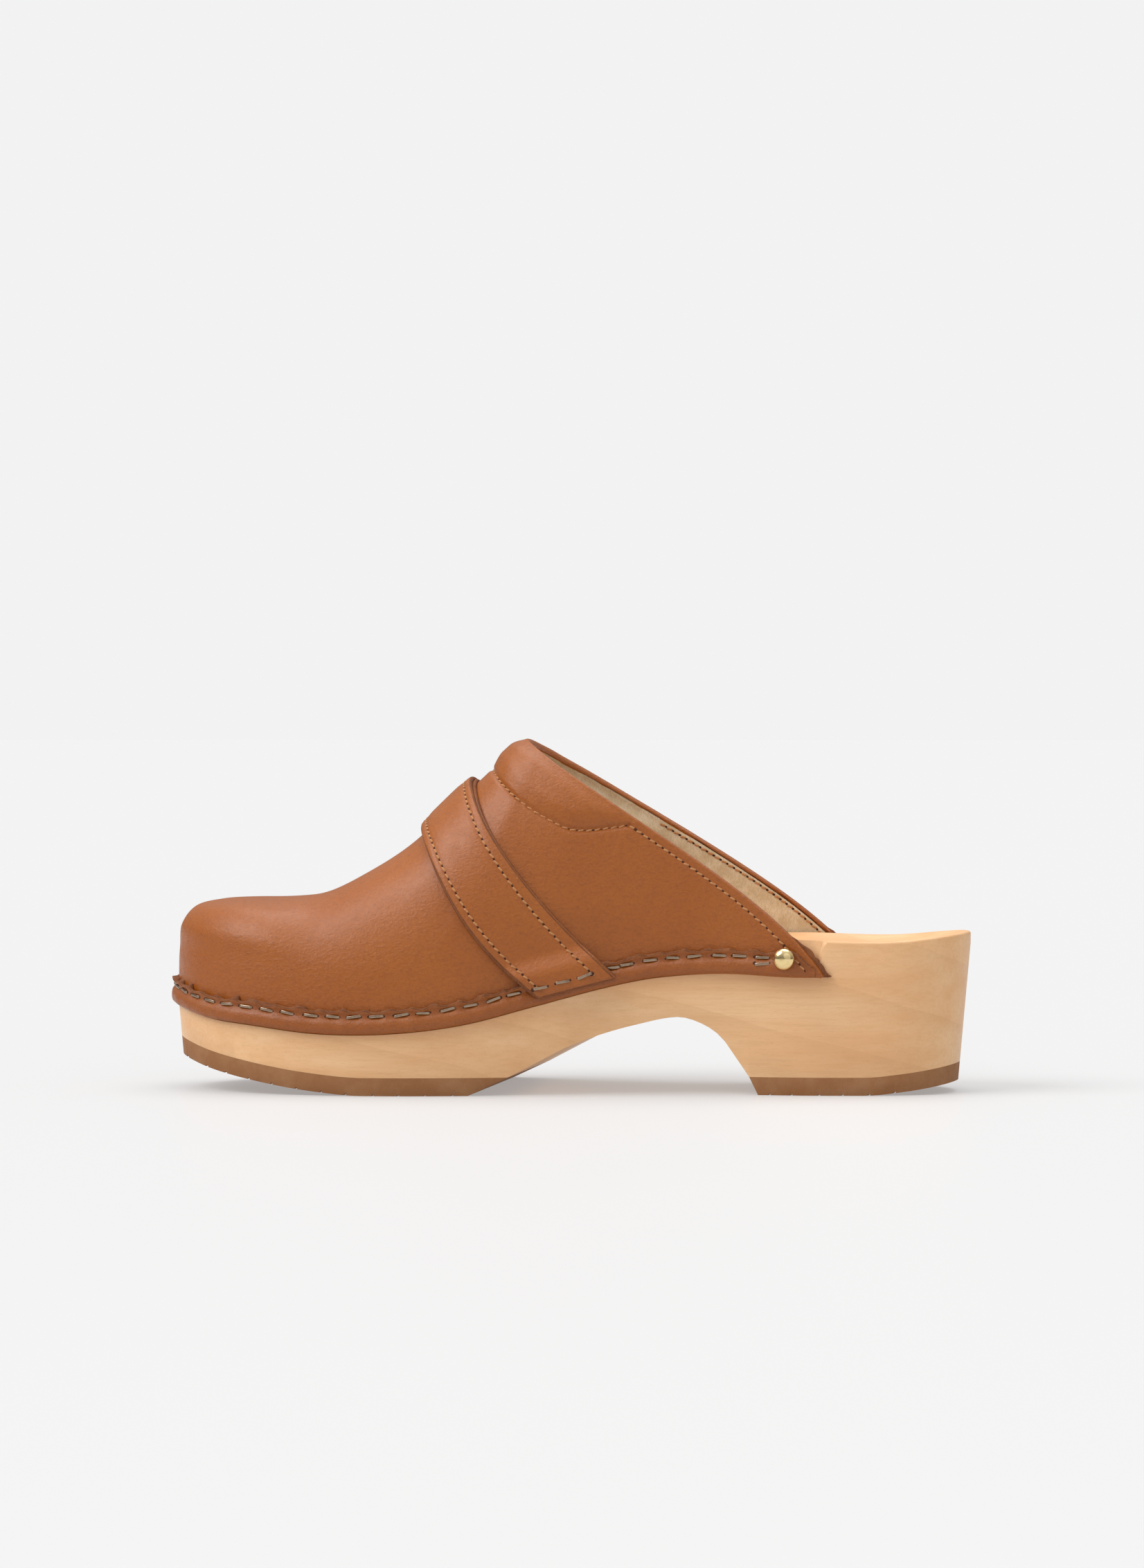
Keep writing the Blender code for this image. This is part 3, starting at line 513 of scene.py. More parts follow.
@dataclass(frozen=True)
class Leather(Finish):
    """Aniline-dyed cowhide, lightly waxed: soft broad gloss, fine pebbled grain, cloudy dye."""

    deep: str = "#7a3c14"
    light: str = "#b97038"
    grain: float = 0.7 * MM
    grain_depth: float = 0.10 * MM

    def constants(self) -> dict:
        """A thin wax coat over the grain."""
        return {"Specular IOR Level": 0.48, "Coat Weight": 0.06, "Coat Roughness": 0.3}

    def pattern(self, tree: Tree, place: Socket) -> dict:
        """Clouds of dye 30 mm across, mottling of 3 mm, pores between the pebbles, and painted shade
        along the creases.

        Args:
            tree: the node tree.
            place: coordinates.

        Returns:
            Shader inputs by name.
        """
        clouds = noise(tree, place, 30 * MM, 2.0)
        mottle = noise(tree, place, 3.2 * MM, 4.0, 0.6)
        colour = blend_colours(tree, clouds, self.colour, self.light, (0.0, 0.35, 0.35, 0.75))
        colour = blend_colours(tree, mottle, colour, self.deep, (0.0, 0.14, 0.45, 0.85))
        cells = add(tree, "ShaderNodeTexVoronoi", {"Vector": place, "Scale": 1 / self.grain,
                                                   "Randomness": 1.0}, feature="SMOOTH_F1")
        fine = noise(tree, place, 0.25 * MM, 2.0)
        across_foot = stretched(tree, place, (0.8, 0.5, 1.5), (0.0, 0.6, 0.0))
        creases = noise(tree, across_foot, 1.5 * MM, 5.0, 0.7)
        pores = spread(tree, cells.outputs["Distance"], 0.0, 1.0, 0.35, 0.75)
        colour = blend_colours(tree, pores, colour, self.deep, (0.0, 0.22))
        # The creases are darkened in colour too: painted shade that makes them show.
        colour = blend_colours(tree, creases, colour, self.deep, (0.0, 0.30, 0.52, 0.72))
        low = bump(tree, creases, 0.8, 0.30 * MM)
        middle = bump(tree, cells.outputs["Distance"], 0.6, self.grain_depth, low)
        return {"Base Color": colour, "Normal": bump(tree, fine, 0.3, 0.03 * MM, middle),
                "Roughness": self.uneven(tree, mottle, 0.06)}


@dataclass(frozen=True)
class RawEdge(Finish):
    """Cut leather edge: stacked brown fibres, dull, a little fuzzy."""

    deep: str = "#4c2410"

    def pattern(self, tree: Tree, place: Socket) -> dict:
        """Fibre bundles 0.3 mm thick.

        Args:
            tree: the node tree.
            place: coordinates.

        Returns:
            Shader inputs by name.
        """
        fibres = noise(tree, place, 0.35 * MM, 5.0, 0.7)
        patches = noise(tree, place, 4 * MM, 2.0)
        colour = blend_colours(tree, fibres, self.deep, self.colour, (0.0, 1.0, 0.35, 0.7))
        colour = blend_colours(tree, patches, colour, "#b0713f", (0.0, 0.35, 0.4, 0.8))
        return {"Base Color": colour, "Normal": bump(tree, fibres, 0.8, 0.25 * MM)}


@dataclass(frozen=True)
class Suede(Finish):
    """Split suede lining: matt nap that lies in cloudy patches, no gloss."""

    deep: str = "#8f7a5e"
    light: str = "#cdb89a"

    def constants(self) -> dict:
        """The nap's soft sheen."""
        return {"Sheen Weight": 0.25, "Sheen Roughness": 0.5, "Specular IOR Level": 0.15}

    def pattern(self, tree: Tree, place: Socket) -> dict:
        """Nap patches 5 mm across, fibres of 0.3 mm drawn at 0.5 mm so that they show.

        Args:
            tree: the node tree.
            place: coordinates.

        Returns:
            Shader inputs by name.
        """
        nap = noise(tree, place, 5 * MM, 4.0, 0.6)
        fibres = noise(tree, stretched(tree, place, (1.0, 1.0, 0.45)), 0.5 * MM, 4.0, 0.7)
        colour = blend_colours(tree, nap, self.colour, self.light, (0.0, 1.0, 0.35, 0.68))
        colour = blend_colours(tree, fibres, colour, self.deep, (0.0, 0.6, 0.42, 0.8))
        return {"Base Color": colour,
                "Normal": bump(tree, fibres, 0.7, 0.18 * MM, bump(tree, nap, 0.3, 0.3 * MM))}


@dataclass(frozen=True)
class Alder(Finish):
    """Planed alder under a thin matt lacquer: pale peach, straight fine grain, tiny pores."""

    deep: str = "#cf9a66"
    light: str = "#f0cda0"
    late: str = "#c58d5a"

    def constants(self) -> dict:
        """Thin lacquer."""
        return {"Coat Weight": 0.12, "Coat Roughness": 0.3, "Specular IOR Level": 0.4}

    def pattern(self, tree: Tree, place: Socket) -> dict:
        """Fibre streaks 0.5 mm wide, year rings 7 mm apart on a slant, pores 0.15 by 3 mm.

        Args:
            tree: the node tree.
            place: coordinates.

        Returns:
            Shader inputs by name.
        """
        lean = stretched(tree, place, (0.03, 1.0, 1.0), (0.0, math.radians(4), 0.0))
        streaks = noise(tree, lean, 0.9 * MM, 4.0, 0.65)
        broad = noise(tree, stretched(tree, place, (0.12, 1.0, 1.0)), 9 * MM, 3.0, 0.55)
        rings = add(tree, "ShaderNodeTexWave", {
            "Vector": stretched(tree, place, (0.30, 0.55, 1.0), (0.1, math.radians(-38), 0.25)),
            "Scale": 0.16 / (7 * MM), "Distortion": 3.0, "Detail": 2.0, "Detail Scale": 1.0,
            "Detail Roughness": 0.6}, bands_direction="Z", wave_profile="SAW").outputs["Fac"]
        pores = noise(tree, stretched(tree, place, (0.045, 1.0, 1.0)), 0.16 * MM, 1.0)
        patches = noise(tree, place, 28 * MM, 3.0, 0.6)
        colour = blend_colours(tree, broad, self.colour, self.light, (0.0, 0.5, 0.35, 0.7))
        colour = blend_colours(tree, streaks, colour, self.deep, (0.0, 0.34, 0.45, 0.75))
        colour = blend_colours(tree, rings, colour, self.late, (0.0, 0.19, 0.6, 1.0))
        colour = blend_colours(tree, pores, colour, "#a9744a", (0.0, 0.26, 0.62, 0.76))
        colour = blend_colours(tree, patches, colour, "#b98a60", (0.0, 0.20, 0.56, 0.8))
        grain = bump(tree, streaks, 0.25, 0.05 * MM)
        return {"Base Color": colour, "Normal": bump(tree, pores, 0.15, 0.03 * MM, grain),
                "Roughness": self.uneven(tree, streaks, 0.05)}


@dataclass(frozen=True)
class Rubber(Finish):
    """Moulded crepe-brown rubber: matt, slightly dusty, fine mould texture."""

    dusty: str = "#b98d66"

    def pattern(self, tree: Tree, place: Socket) -> dict:
        """Mould texture of 0.4 mm and dust clouds of 12 mm.

        Args:
            tree: the node tree.
            place: coordinates.

        Returns:
            Shader inputs by name.
        """
        skin = noise(tree, place, 0.4 * MM, 3.0)
        dust = noise(tree, place, 12 * MM, 5.0, 0.65)
        colour = blend_colours(tree, dust, self.colour, self.dusty, (0.0, 0.7, 0.4, 0.75))
        colour = blend_colours(tree, skin, colour, "#6f472a", (0.0, 0.25, 0.5, 0.8))
        return {"Base Color": colour, "Normal": bump(tree, skin, 0.4, 0.08 * MM)}


@dataclass(frozen=True)
class Metal(Finish):
    """Drawn or turned metal: hairline scratches and a little uneven polish."""

    worn: str = "#808080"
    scratch: float = 0.2 * MM

    def pattern(self, tree: Tree, place: Socket) -> dict:
        """Hairlines 0.2 mm apart and tarnish spots of 1.5 mm.

        Args:
            tree: the node tree.
            place: coordinates.

        Returns:
            Shader inputs by name.
        """
        tarnish = noise(tree, place, 1.5 * MM, 3.0, 0.6)
        hair = noise(tree, stretched(tree, place, (0.1, 1.0, 1.0)), self.scratch, 2.0)
        colour = blend_colours(tree, tarnish, self.colour, self.worn, (0.0, 0.6, 0.5, 0.8))
        return {"Base Color": colour, "Normal": bump(tree, hair, 0.12, 0.01 * MM),
                "Roughness": spread(tree, tarnish, self.roughness, self.roughness + 0.15, 0.4, 0.8)}


@dataclass(frozen=True)
class Yarn(Finish):
    """Waxed linen or foam: one dull colour with fibres or cells of a given size."""

    deep: str = "#8a5e38"
    cell: float = 0.25 * MM

    def pattern(self, tree: Tree, place: Socket) -> dict:
        """Fibres or cells, dark in the hollows.

        Args:
            tree: the node tree.
            place: coordinates.

        Returns:
            Shader inputs by name.
        """
        fibres = noise(tree, place, self.cell, 2.0, 0.6)
        colour = blend_colours(tree, fibres, self.colour, self.deep, (0.0, 0.7, 0.4, 0.75))
        return {"Base Color": colour, "Normal": bump(tree, fibres, 0.6, 0.4 * self.cell)}


COGNAC = Leather("waxed_cognac_cowhide", "#9b5108", 0.38, deep="#6d3406", light="#ad6114")
COGNAC_WELT = Leather("waxed_cognac_welt", "#934c0a", 0.40, deep="#622e08", light="#a25a16",
                      grain=0.55 * MM)
FACING = Leather("brown_calf_facing", "#6d3f1f", 0.5, deep="#472510", light="#7d4b28")
CUT_EDGE = RawEdge("cut_leather_edge", "#8f5226", 0.85, deep="#5c3015")
FLESH_SIDE = RawEdge("leather_flesh_side", "#9a6a40", 0.9, deep="#6b4426")
SUEDE = Suede("beige_split_suede", "#d2b993", 0.95, deep="#a58c6c", light="#e6d3b4")
ALDER = Alder("lacquered_alder", "#e2ae7b", 0.46)
TREAD = Rubber("moulded_brown_rubber", "#905f36", 0.78, dusty="#a87c55")
BRASS = Metal("polished_brass_stud", "#ecd29a", 0.12, 1.0, worn="#d0ae66")
WIRE = Metal("galvanised_staple_wire", "#a08a76", 0.28, 1.0, worn="#4d3a2c")
THREAD = Yarn("waxed_linen_thread", "#c08552", 0.7, deep="#85522c")
# Painted shadow: a dark finish that stands for the shade inside each needle or staple hole.
NEEDLE_HOLE_SHADOW = Yarn("needle_hole_shadow", "#4a2410", 0.95, deep="#2c1408")
FOAM = Yarn("open_cell_foam", "#d8d3c4", 0.95, deep="#a8a290", cell=0.6 * MM)
STIFFENER = Yarn("pressed_fibre_stiffener", "#c9c0ab", 0.8, deep="#9d937d", cell=0.5 * MM)


# ---- mesh tools ---------------------------------------------------------------------------
@contextmanager
def editing(mesh: bpy.types.Mesh) -> Iterator[bmesh.types.BMesh]:
    """Opens a mesh for editing and writes it back.

    Args:
        mesh: the mesh.

    Returns:
        Its editable form.
    """
    shape = bmesh.new()
    shape.from_mesh(mesh)
    yield shape
    shape.to_mesh(mesh)
    shape.free()


def mesh_object(name: str, verts: Array, faces: Sequence[Sequence[int]], finishes: Sequence[Finish],
                picks: Sequence[int] | None = None, sharp: float = 50.0) -> Piece:
    """Makes an object from points and faces, outward facing, with its place in its mesh.

    Args:
        name: the piece's name.
        verts: points in the row frame.
        faces: point numbers of each face.
        finishes: material of each slot.
        picks: slot number of each face; all 0 if left out.
        sharp: edges bent more than this many degrees stay crisp.

    Returns:
        The object, in the scene.
    """
    mesh = bpy.data.meshes.new(name)
    mesh.from_pydata(np.asarray(verts).tolist(), [], [list(map(int, face)) for face in faces])
    for finish in finishes:
        mesh.materials.append(finish.material())
    if picks is not None:
        mesh.polygons.foreach_set("material_index", list(map(int, picks)))
    with editing(mesh) as shape:
        if shape.calc_volume(signed=True) < 0:
            bmesh.ops.reverse_faces(shape, faces=shape.faces)
    mesh.shade_smooth()
    mesh.set_sharp_from_angle(angle=math.radians(sharp))
    made = bpy.data.objects.new(name, mesh)
    bpy.context.scene.collection.objects.link(made)
    return made


def grid_faces(ids: Array) -> list[tuple[int, ...]]:
    """Faces of a grid of point numbers; repeated numbers give triangles or nothing.

    Args:
        ids: a table of point numbers.

    Returns:
        Point numbers of each face.
    """
    faces = []
    corners_of_all = (ids[:-1, :-1], ids[1:, :-1], ids[1:, 1:], ids[:-1, 1:])
    for a, b, c, d in zip(*(part.ravel() for part in corners_of_all)):
        corners = list(dict.fromkeys((int(a), int(b), int(c), int(d))))
        if len(corners) > 2:
            faces.append(tuple(corners))
    return faces


def vertex_normals(verts: Array, faces: Sequence[tuple[int, ...]]) -> Array:
    """Area-weighted normals of points.

    Args:
        verts: points.
        faces: point numbers of each face.

    Returns:
        Unit vectors, one for each point.
    """
    quads = np.array([(f[0], f[1], f[2], f[-1]) for f in faces])
    weight = np.cross(verts[quads[:, 2]] - verts[quads[:, 0]], verts[quads[:, 3]] - verts[quads[:, 1]])
    flat = np.linalg.norm(weight, axis=1) < 1e-16
    weight[flat] = np.cross(verts[quads[flat, 1]] - verts[quads[flat, 0]],
                            verts[quads[flat, 2]] - verts[quads[flat, 0]])
    normals = np.zeros_like(verts)
    for corner in range(4):
        np.add.at(normals, quads[:, corner], weight)
    return normals / np.maximum(np.linalg.norm(normals, axis=1, keepdims=True), 1e-20)


def close_shell(name: str, outer: Array, inner: Array, faces: Sequence[tuple[int, ...]],
                loop: Array, finishes: Sequence[Finish], roundness: float = 0.6,
                arcs: int = 3) -> Piece:
    """Joins an outer and an inner skin with a rounded wall round their edge.

    Args:
        name: the piece's name.
        outer: outer points.
        inner: inner points, in the same order.
        faces: faces of the outer skin.
        loop: the edge's point numbers in order.
        finishes: outer face, edge and inner face.
        roundness: how far the wall bows out, as a share of half the thickness.
        arcs: rows of points in the wall.

    Returns:
        The closed piece.
    """
    count = len(outer)
    middle = (outer[loop] + inner[loop]) / 2
    half = (outer[loop] - inner[loop]) / 2
    tangent = np.roll(middle, -1, axis=0) - np.roll(middle, 1, axis=0)
    away = np.cross(tangent, half)
    away /= np.maximum(np.linalg.norm(away, axis=1, keepdims=True), 1e-20)
    centres, hits = np.zeros_like(outer), np.zeros(count)
    for face in faces:
        centres[list(face)] += outer[list(face)].mean(axis=0)
        hits[list(face)] += 1
    inwards = centres[loop] / np.maximum(hits[loop], 1)[:, None] - outer[loop]
    if np.einsum("ij,ij->i", away, inwards).sum() > 0:
        away = -away
    size = np.linalg.norm(half, axis=1, keepdims=True) * roundness
    rows = [loop]
    verts = [outer, inner]
    start = 2 * count
    for k in range(1, arcs + 1):
        angle = math.pi * k / (arcs + 1)
        verts.append(middle + half * math.cos(angle) + away * size * math.sin(angle))
        rows.append(np.arange(start, start + len(loop)))
        start += len(loop)
    rows.append(loop + count)
    joined = list(faces)
    picks = [0] * len(faces)
    joined += [tuple(i + count for i in reversed(face)) for face in faces]
    picks += [2] * len(faces)
    edge = loop[[0, 1]]
    forward = any(edge[0] in f and f[(f.index(edge[0]) + 1) % len(f)] == edge[1] for f in faces)
    for low, high in zip(rows, rows[1:]):
        for i in range(len(loop)):
            k = (i + 1) % len(loop)
            quad = (low[k], low[i], high[i], high[k]) if forward else (low[i], low[k], high[k], high[i])
            joined.append(quad)
            picks.append(1)
    return mesh_object(name, np.concatenate(verts), joined, finishes, picks)


def grid_loop(ids: Array) -> Array:
    """The edge of a plain grid of point numbers, in order."""
    return np.concatenate([ids[:-1, 0], ids[-1, :-1], ids[:0:-1, -1], ids[0, :0:-1]])


def finder(points: Array) -> KDTree:
    """A finder of the nearest of some points.

    Args:
        points: one row each.

    Returns:
        The balanced tree.
    """
    tree = KDTree(len(points))
    for number, point in enumerate(points):
        tree.insert(point, number)
    tree.balance()
    return tree


def along_line(points: Array, pitch: float, start: float = 0.0) -> Array:
    """Fractional indices of places spaced evenly along a line of points."""
    steps = np.concatenate([[0.0], np.cumsum(np.linalg.norm(np.diff(points, axis=0), axis=1))])
    return np.interp(np.arange(start, steps[-1], pitch), steps, np.arange(len(points)))


def at(rows: Array, places: Array) -> Array:
    """Values of a table of rows at fractional indices."""
    low = np.clip(np.floor(places).astype(int), 0, len(rows) - 2)
    return rows[low] + (rows[low + 1] - rows[low]) * (places - low)[:, None]


def settle(made: Piece, nodes: Iterable[str] = ()) -> None:
    """Hangs a finished piece on the frame and logs it.

    Args:
        made: the piece.
        nodes: CAD nodes that it stands for.
    """
    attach(made, BODY)
    if nodes:
        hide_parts(*nodes)
    LOG.info("%s: %d faces", made.name, len(made.data.polygons))


def bake_modifiers(made: Piece) -> None:
    """Turns an object's live modifiers into a plain mesh.

    Args:
        made: the object.
    """
    graph = bpy.context.evaluated_depsgraph_get()
    mesh = bpy.data.meshes.new_from_object(made.evaluated_get(graph), depsgraph=graph)
    made.modifiers.clear()
    made.data = mesh


# ---- geometry nodes for what repeats ------------------------------------------------------
def scatter_tree() -> Tree:
    """A tree that sets one piece on every point, facing the point's aim and out attributes.

    Returns:
        The node group.
    """
    tree = bpy.data.node_groups.new("piece_on_each_point", "GeometryNodeTree")
    face = tree.interface
    face.new_socket("Points", in_out="INPUT", socket_type="NodeSocketGeometry")
    for name, kind in (("Piece", "Object"), ("Finish", "Material"), ("Turn", "Float"),
                       ("Size Spread", "Float"), ("Seed", "Int")):
        face.new_socket(name, in_out="INPUT", socket_type=f"NodeSocket{kind}")
    face.new_socket("Pieces", in_out="OUTPUT", socket_type="NodeSocketGeometry")
    given = add(tree, "NodeGroupInput").outputs
    aim, out = (add(tree, "GeometryNodeInputNamedAttribute", {"Name": name},
                    data_type="FLOAT_VECTOR").outputs["Attribute"] for name in ("aim", "out"))
    facing = add(tree, "FunctionNodeAxesToRotation", {
        "Primary Axis": out, "Secondary Axis": aim}, primary_axis="Z", secondary_axis="X")
    back = add(tree, "ShaderNodeMath", {0: given["Turn"], 1: -1.0}, operation="MULTIPLY")
    turn = add(tree, "FunctionNodeRandomValue", {"Min": back.outputs[0], "Max": given["Turn"],
                                                 "Seed": given["Seed"]}, data_type="FLOAT")
    swing = add(tree, "ShaderNodeCombineXYZ", {"Z": turn.outputs["Value"]})
    turned = add(tree, "FunctionNodeRotateRotation", {
        "Rotation": facing.outputs["Rotation"], "Rotate By": swing.outputs["Vector"]},
        rotation_space="LOCAL")
    least = add(tree, "ShaderNodeMath", {0: 1.0, 1: given["Size Spread"]}, operation="SUBTRACT")
    most = add(tree, "ShaderNodeMath", {0: 1.0, 1: given["Size Spread"]}, operation="ADD")
    size = add(tree, "FunctionNodeRandomValue", {"Min": least.outputs[0], "Max": most.outputs[0],
                                                 "Seed": given["Seed"]}, data_type="FLOAT")
    length = add(tree, "ShaderNodeCombineXYZ", {"X": size.outputs["Value"], "Y": 1.0, "Z": 1.0})
    piece = add(tree, "GeometryNodeObjectInfo", {"Object": given["Piece"], "As Instance": True})
    spots = add(tree, "GeometryNodeMeshToPoints", {"Mesh": given["Points"]})
    placed = add(tree, "GeometryNodeInstanceOnPoints", {
        "Points": spots.outputs["Points"], "Instance": piece.outputs["Geometry"],
        "Rotation": turned.outputs["Rotation"], "Scale": length.outputs["Vector"]})
    real = add(tree, "GeometryNodeRealizeInstances", {"Geometry": placed.outputs["Instances"]})
    dressed = add(tree, "GeometryNodeSetMaterial", {"Geometry": real.outputs["Geometry"],
                                                    "Material": given["Finish"]})
    add(tree, "NodeGroupOutput", {"Pieces": dressed.outputs["Geometry"]})
    return tree


def set_on_points(name: str, piece: Piece, finish: Finish, spots: Array, aims: Array,
                  outs: Array, turn: float = 0.0, size_spread: float = 0.0,
                  seed: int = 1) -> Piece:
    """Sets a copy of a piece on each spot and joins them in one plain mesh.

    Args:
        name: the joined piece's name.
        piece: what is repeated; its X follows the aim and its Z points out. It is removed.
        finish: material of every copy.
        spots: places in the row frame.
        aims: directions along the row.
        outs: directions away from the surface.
        turn: most that a copy turns about its out direction, in radians.
        size_spread: most that a copy's length differs from its own.
        seed: which random order.

    Returns:
        The joined piece.
    """
    mesh = bpy.data.meshes.new(name)
    mesh.from_pydata(np.asarray(spots).tolist(), [], [])
    for label, rows in (("aim", aims), ("out", outs)):
        mesh.attributes.new(label, "FLOAT_VECTOR", "POINT").data.foreach_set(
            "vector", np.asarray(rows, np.float32).ravel())
    made = bpy.data.objects.new(name, mesh)
    bpy.context.scene.collection.objects.link(made)
    tree = bpy.data.node_groups.get("piece_on_each_point") or scatter_tree()
    step = made.modifiers.new("pieces", "NODES")
    step.node_group = tree
    values = {"Piece": piece, "Finish": finish.material(), "Turn": turn, "Size Spread": size_spread,
              "Seed": seed}
    for item in tree.interface.items_tree:
        if item.in_out == "INPUT" and item.name in values:
            step[item.identifier] = values[item.name]
    bake_modifiers(made)
    made.data.shade_smooth()
    made.data.set_sharp_from_angle(angle=math.radians(50))
    bpy.data.objects.remove(piece, do_unlink=True)
    return made


def capsule(length: float, thick: float, flat: float = 1.0, around: int = 6) -> Piece:
    """A short thread or dimple: a rounded rod along X.

    Args:
        length: end to end.
        thick: thickness across.
        flat: height as a share of the thickness.
        around: points round it.

    Returns:
        The rod.
    """
    radius = thick / 2
    half = length / 2
    rings = ((-half, 0.0), (-half + 0.3 * radius, 0.7), (-half + radius, 1.0), (half - radius, 1.0),
             (half - 0.3 * radius, 0.7), (half, 0.0))
    angles = np.arange(around) * 2 * math.pi / around
    verts = [(-half, 0.0, 0.0)]
    for x, share in rings[1:-1]:
        verts += [(x, radius * share * math.cos(a), radius * share * flat * math.sin(a))
                  for a in angles]
    verts.append((half, 0.0, 0.0))
    faces = [(0, 1 + (i + 1) % around, 1 + i) for i in range(around)]
    for ring in range(3):
        low = 1 + ring * around
        faces += [(low + i, low + (i + 1) % around, low + around + (i + 1) % around, low + around + i)
                  for i in range(around)]
    last = len(verts) - 1
    faces += [(last, last - around + i, last - around + (i + 1) % around) for i in range(around)]
    return mesh_object("stitch", np.array(verts), faces, (THREAD,))


# ---- the sole -----------------------------------------------------------------------------
@dataclass
class SoleBlock:
    """The planed wooden block: tapered sides, seat for the leather, dished footbed, arch and heel."""

    last: LastShape
    stations: int = 420
    edge_round: float = 0.0009
    side_taper: float = 0.09
    seat_depth: float = 0.0041
    dish: float = 0.0042
    tread: float = 0.0058
    tread_rear: float = 0.3946
    bevel_slope: float = 0.47
    breast_foot: float = 0.7465
    breast_slope: float = -2.1
    skew: float = 0.06
    groove_pitch: float = 0.0082

    def side_points(self, distance: Array, height: Array, inset: Array | float) -> Array:
        """Points on the tapering side, or inset from it.

        Args:
            distance: along the outline.
            height: height of each.
            inset: metres inwards.

        Returns:
            Points, one row each.
        """
        point, normal = self.last.on_plan(distance)
        below = np.maximum(self.last.ledge(point[:, 0]) - height, 0.0)
        flat = point - normal * (inset + self.side_taper * below)[:, None]
        return np.column_stack([flat, np.broadcast_to(height, len(flat))])

    def columns(self) -> Array:
        """Rows of points round the block, from below its underside up and into the footbed.

        Returns:
            Points by row, then round the block.
        """
        last = self.last
        distance = last.perimeter * np.arange(self.stations) / self.stations
        point, _ = last.on_plan(distance)
        side = np.where(point[:, 1] < 0, -1.0, 1.0)
        x = point[:, 0]
        tip = last.wing_tip(side)
        depth = (self.seat_depth - last.proud(x, side)) * (1 - ease(x, tip - 0.003, tip + 0.0005))
        rim, ledge = last.rim(x), last.ledge(x)
        cover = np.minimum(depth / self.edge_round, 1.0)
        rows = [self.side_points(distance, height, 0.0)
                for height in (np.full_like(x, -0.003), 0.5 * ledge, 0.85 * ledge, ledge - 0.2 * MM)]
        edge = self.edge_round
        for s in np.linspace(0.0, 1.0, 6):
            seat_in, seat_up = depth * min(2 * s, 1.0), ledge + (rim - ledge) * max(2 * s - 1, 0.0)
            bare_in = edge * (1 - math.cos(s * math.pi / 2))
            bare_up = rim - edge * (1 - math.sin(s * math.pi / 2))
            rows.append(self.side_points(distance, seat_up * cover + bare_up * (1 - cover),
                                         seat_in * cover + bare_in * (1 - cover)))
        land = self.side_points(distance, rim, np.maximum(depth, edge) + 0.0012)
        spine = np.clip(x, 0.17 * last.length, 0.89 * last.length)
        for share in (0.0, 0.03, 0.07, 0.13, 0.2, 0.3, 0.42, 0.56, 0.7, 0.84, 0.95):
            flat_x = land[:, 0] + (spine - land[:, 0]) * share
            fall = self.dish * (1 - (1 - share) ** 2.5) * float(ease(np.array(share), -0.02, 0.12))
            rows.append(np.column_stack([flat_x, land[:, 1] * (1 - share), last.rim(flat_x) - fall]))
        return np.array(rows)

    def walls(self, name: str, rows: Array, finish: Finish) -> Piece:
        """A closed block from rows of points.

        Args:
            name: the block's name.
            rows: points by row, then round it.
            finish: its finish.

        Returns:
            The block.
        """
        count = rows.shape[1]
        ids = np.arange(rows.shape[0] * count).reshape(rows.shape[0], count)
        ring = np.hstack([ids, ids[:, :1]])
        faces = grid_faces(ring) + [tuple(ids[0][::-1]), tuple(ids[-1])]
        return mesh_object(name, rows.reshape(-1, 3) + self.last.origin, faces, (finish,))

    def line(self, points: Sequence[tuple[float, float]],
             lift: float = 0.0) -> list[tuple[float, float]]:
        """Close points along a side line.

        Args:
            points: shares of the length and of the heel height.
            lift: metres upwards.

        Returns:
            X and Z of each point.
        """
        curve = SmoothLine(tuple(points), self.last.length, self.last.heel_height)
        start, end = points[0][0] * self.last.length, points[-1][0] * self.last.length
        xs = np.linspace(start, end, max(int((end - start) / 0.0025), 2) + 1)
        return list(zip(xs, np.maximum(curve(xs), 0.0) + lift))

    def bevel_at(self, height: float) -> float:
        """Where the forefoot tread's slope is, at a height."""
        return self.tread_rear * self.last.length + height / self.bevel_slope

    def breast_at(self, height: float) -> float:
        """Where the heel's front face is, at a height."""
        return self.breast_foot * self.last.length + height / self.breast_slope

    def front(self, height: float, lift: float) -> list[tuple[float, float]]:
        """The forefoot tread's line before its slope."""
        return [p for p in self.line(TOE_SPRING, lift) if p[0] < self.bevel_at(height) - 0.002]

    def rear(self, height: float, lift: float) -> list[tuple[float, float]]:
        """The heel tread's line behind its front face."""
        return [p for p in self.line(HEEL_SPRING, lift) if p[0] > self.breast_at(height) + 0.002]

    def prism(self, outline: Sequence[tuple[float, float]]) -> Piece:
        """A side outline drawn across the shoe, askew, as a tool for cutting.

        Args:
            outline: X and Z of its corners.

        Returns:
            The tool.
        """
        reach = 0.6 * self.last.ball_width
        ring = [[(x + self.skew * y, y, z) for x, z in outline] for y in (-reach, reach)]
        verts = np.array(ring).reshape(-1, 3) + self.last.origin
        count = len(outline)
        faces = [tuple(range(count)), tuple(range(2 * count - 1, count - 1, -1))]
        faces += [(i, count + i, count + (i + 1) % count, (i + 1) % count) for i in range(count)]
        tool = mesh_object("cutting_tool", verts, faces, (TREAD,))
        with editing(tool.data) as shape:
            bmesh.ops.recalc_face_normals(shape, faces=shape.faces)
        return tool

    def cut(self, block: Piece, tool: Piece, way: str) -> None:
        """Cuts a block with a tool, rounds nothing, and removes the tool.

        Args:
            block: what is cut.
            tool: what cuts it.
            way: DIFFERENCE or INTERSECT.
        """
        step = block.modifiers.new(way.lower(), "BOOLEAN")
        step.operation, step.object, step.solver = way, tool, "EXACT"
        bake_modifiers(block)
        bpy.data.objects.remove(tool, do_unlink=True)

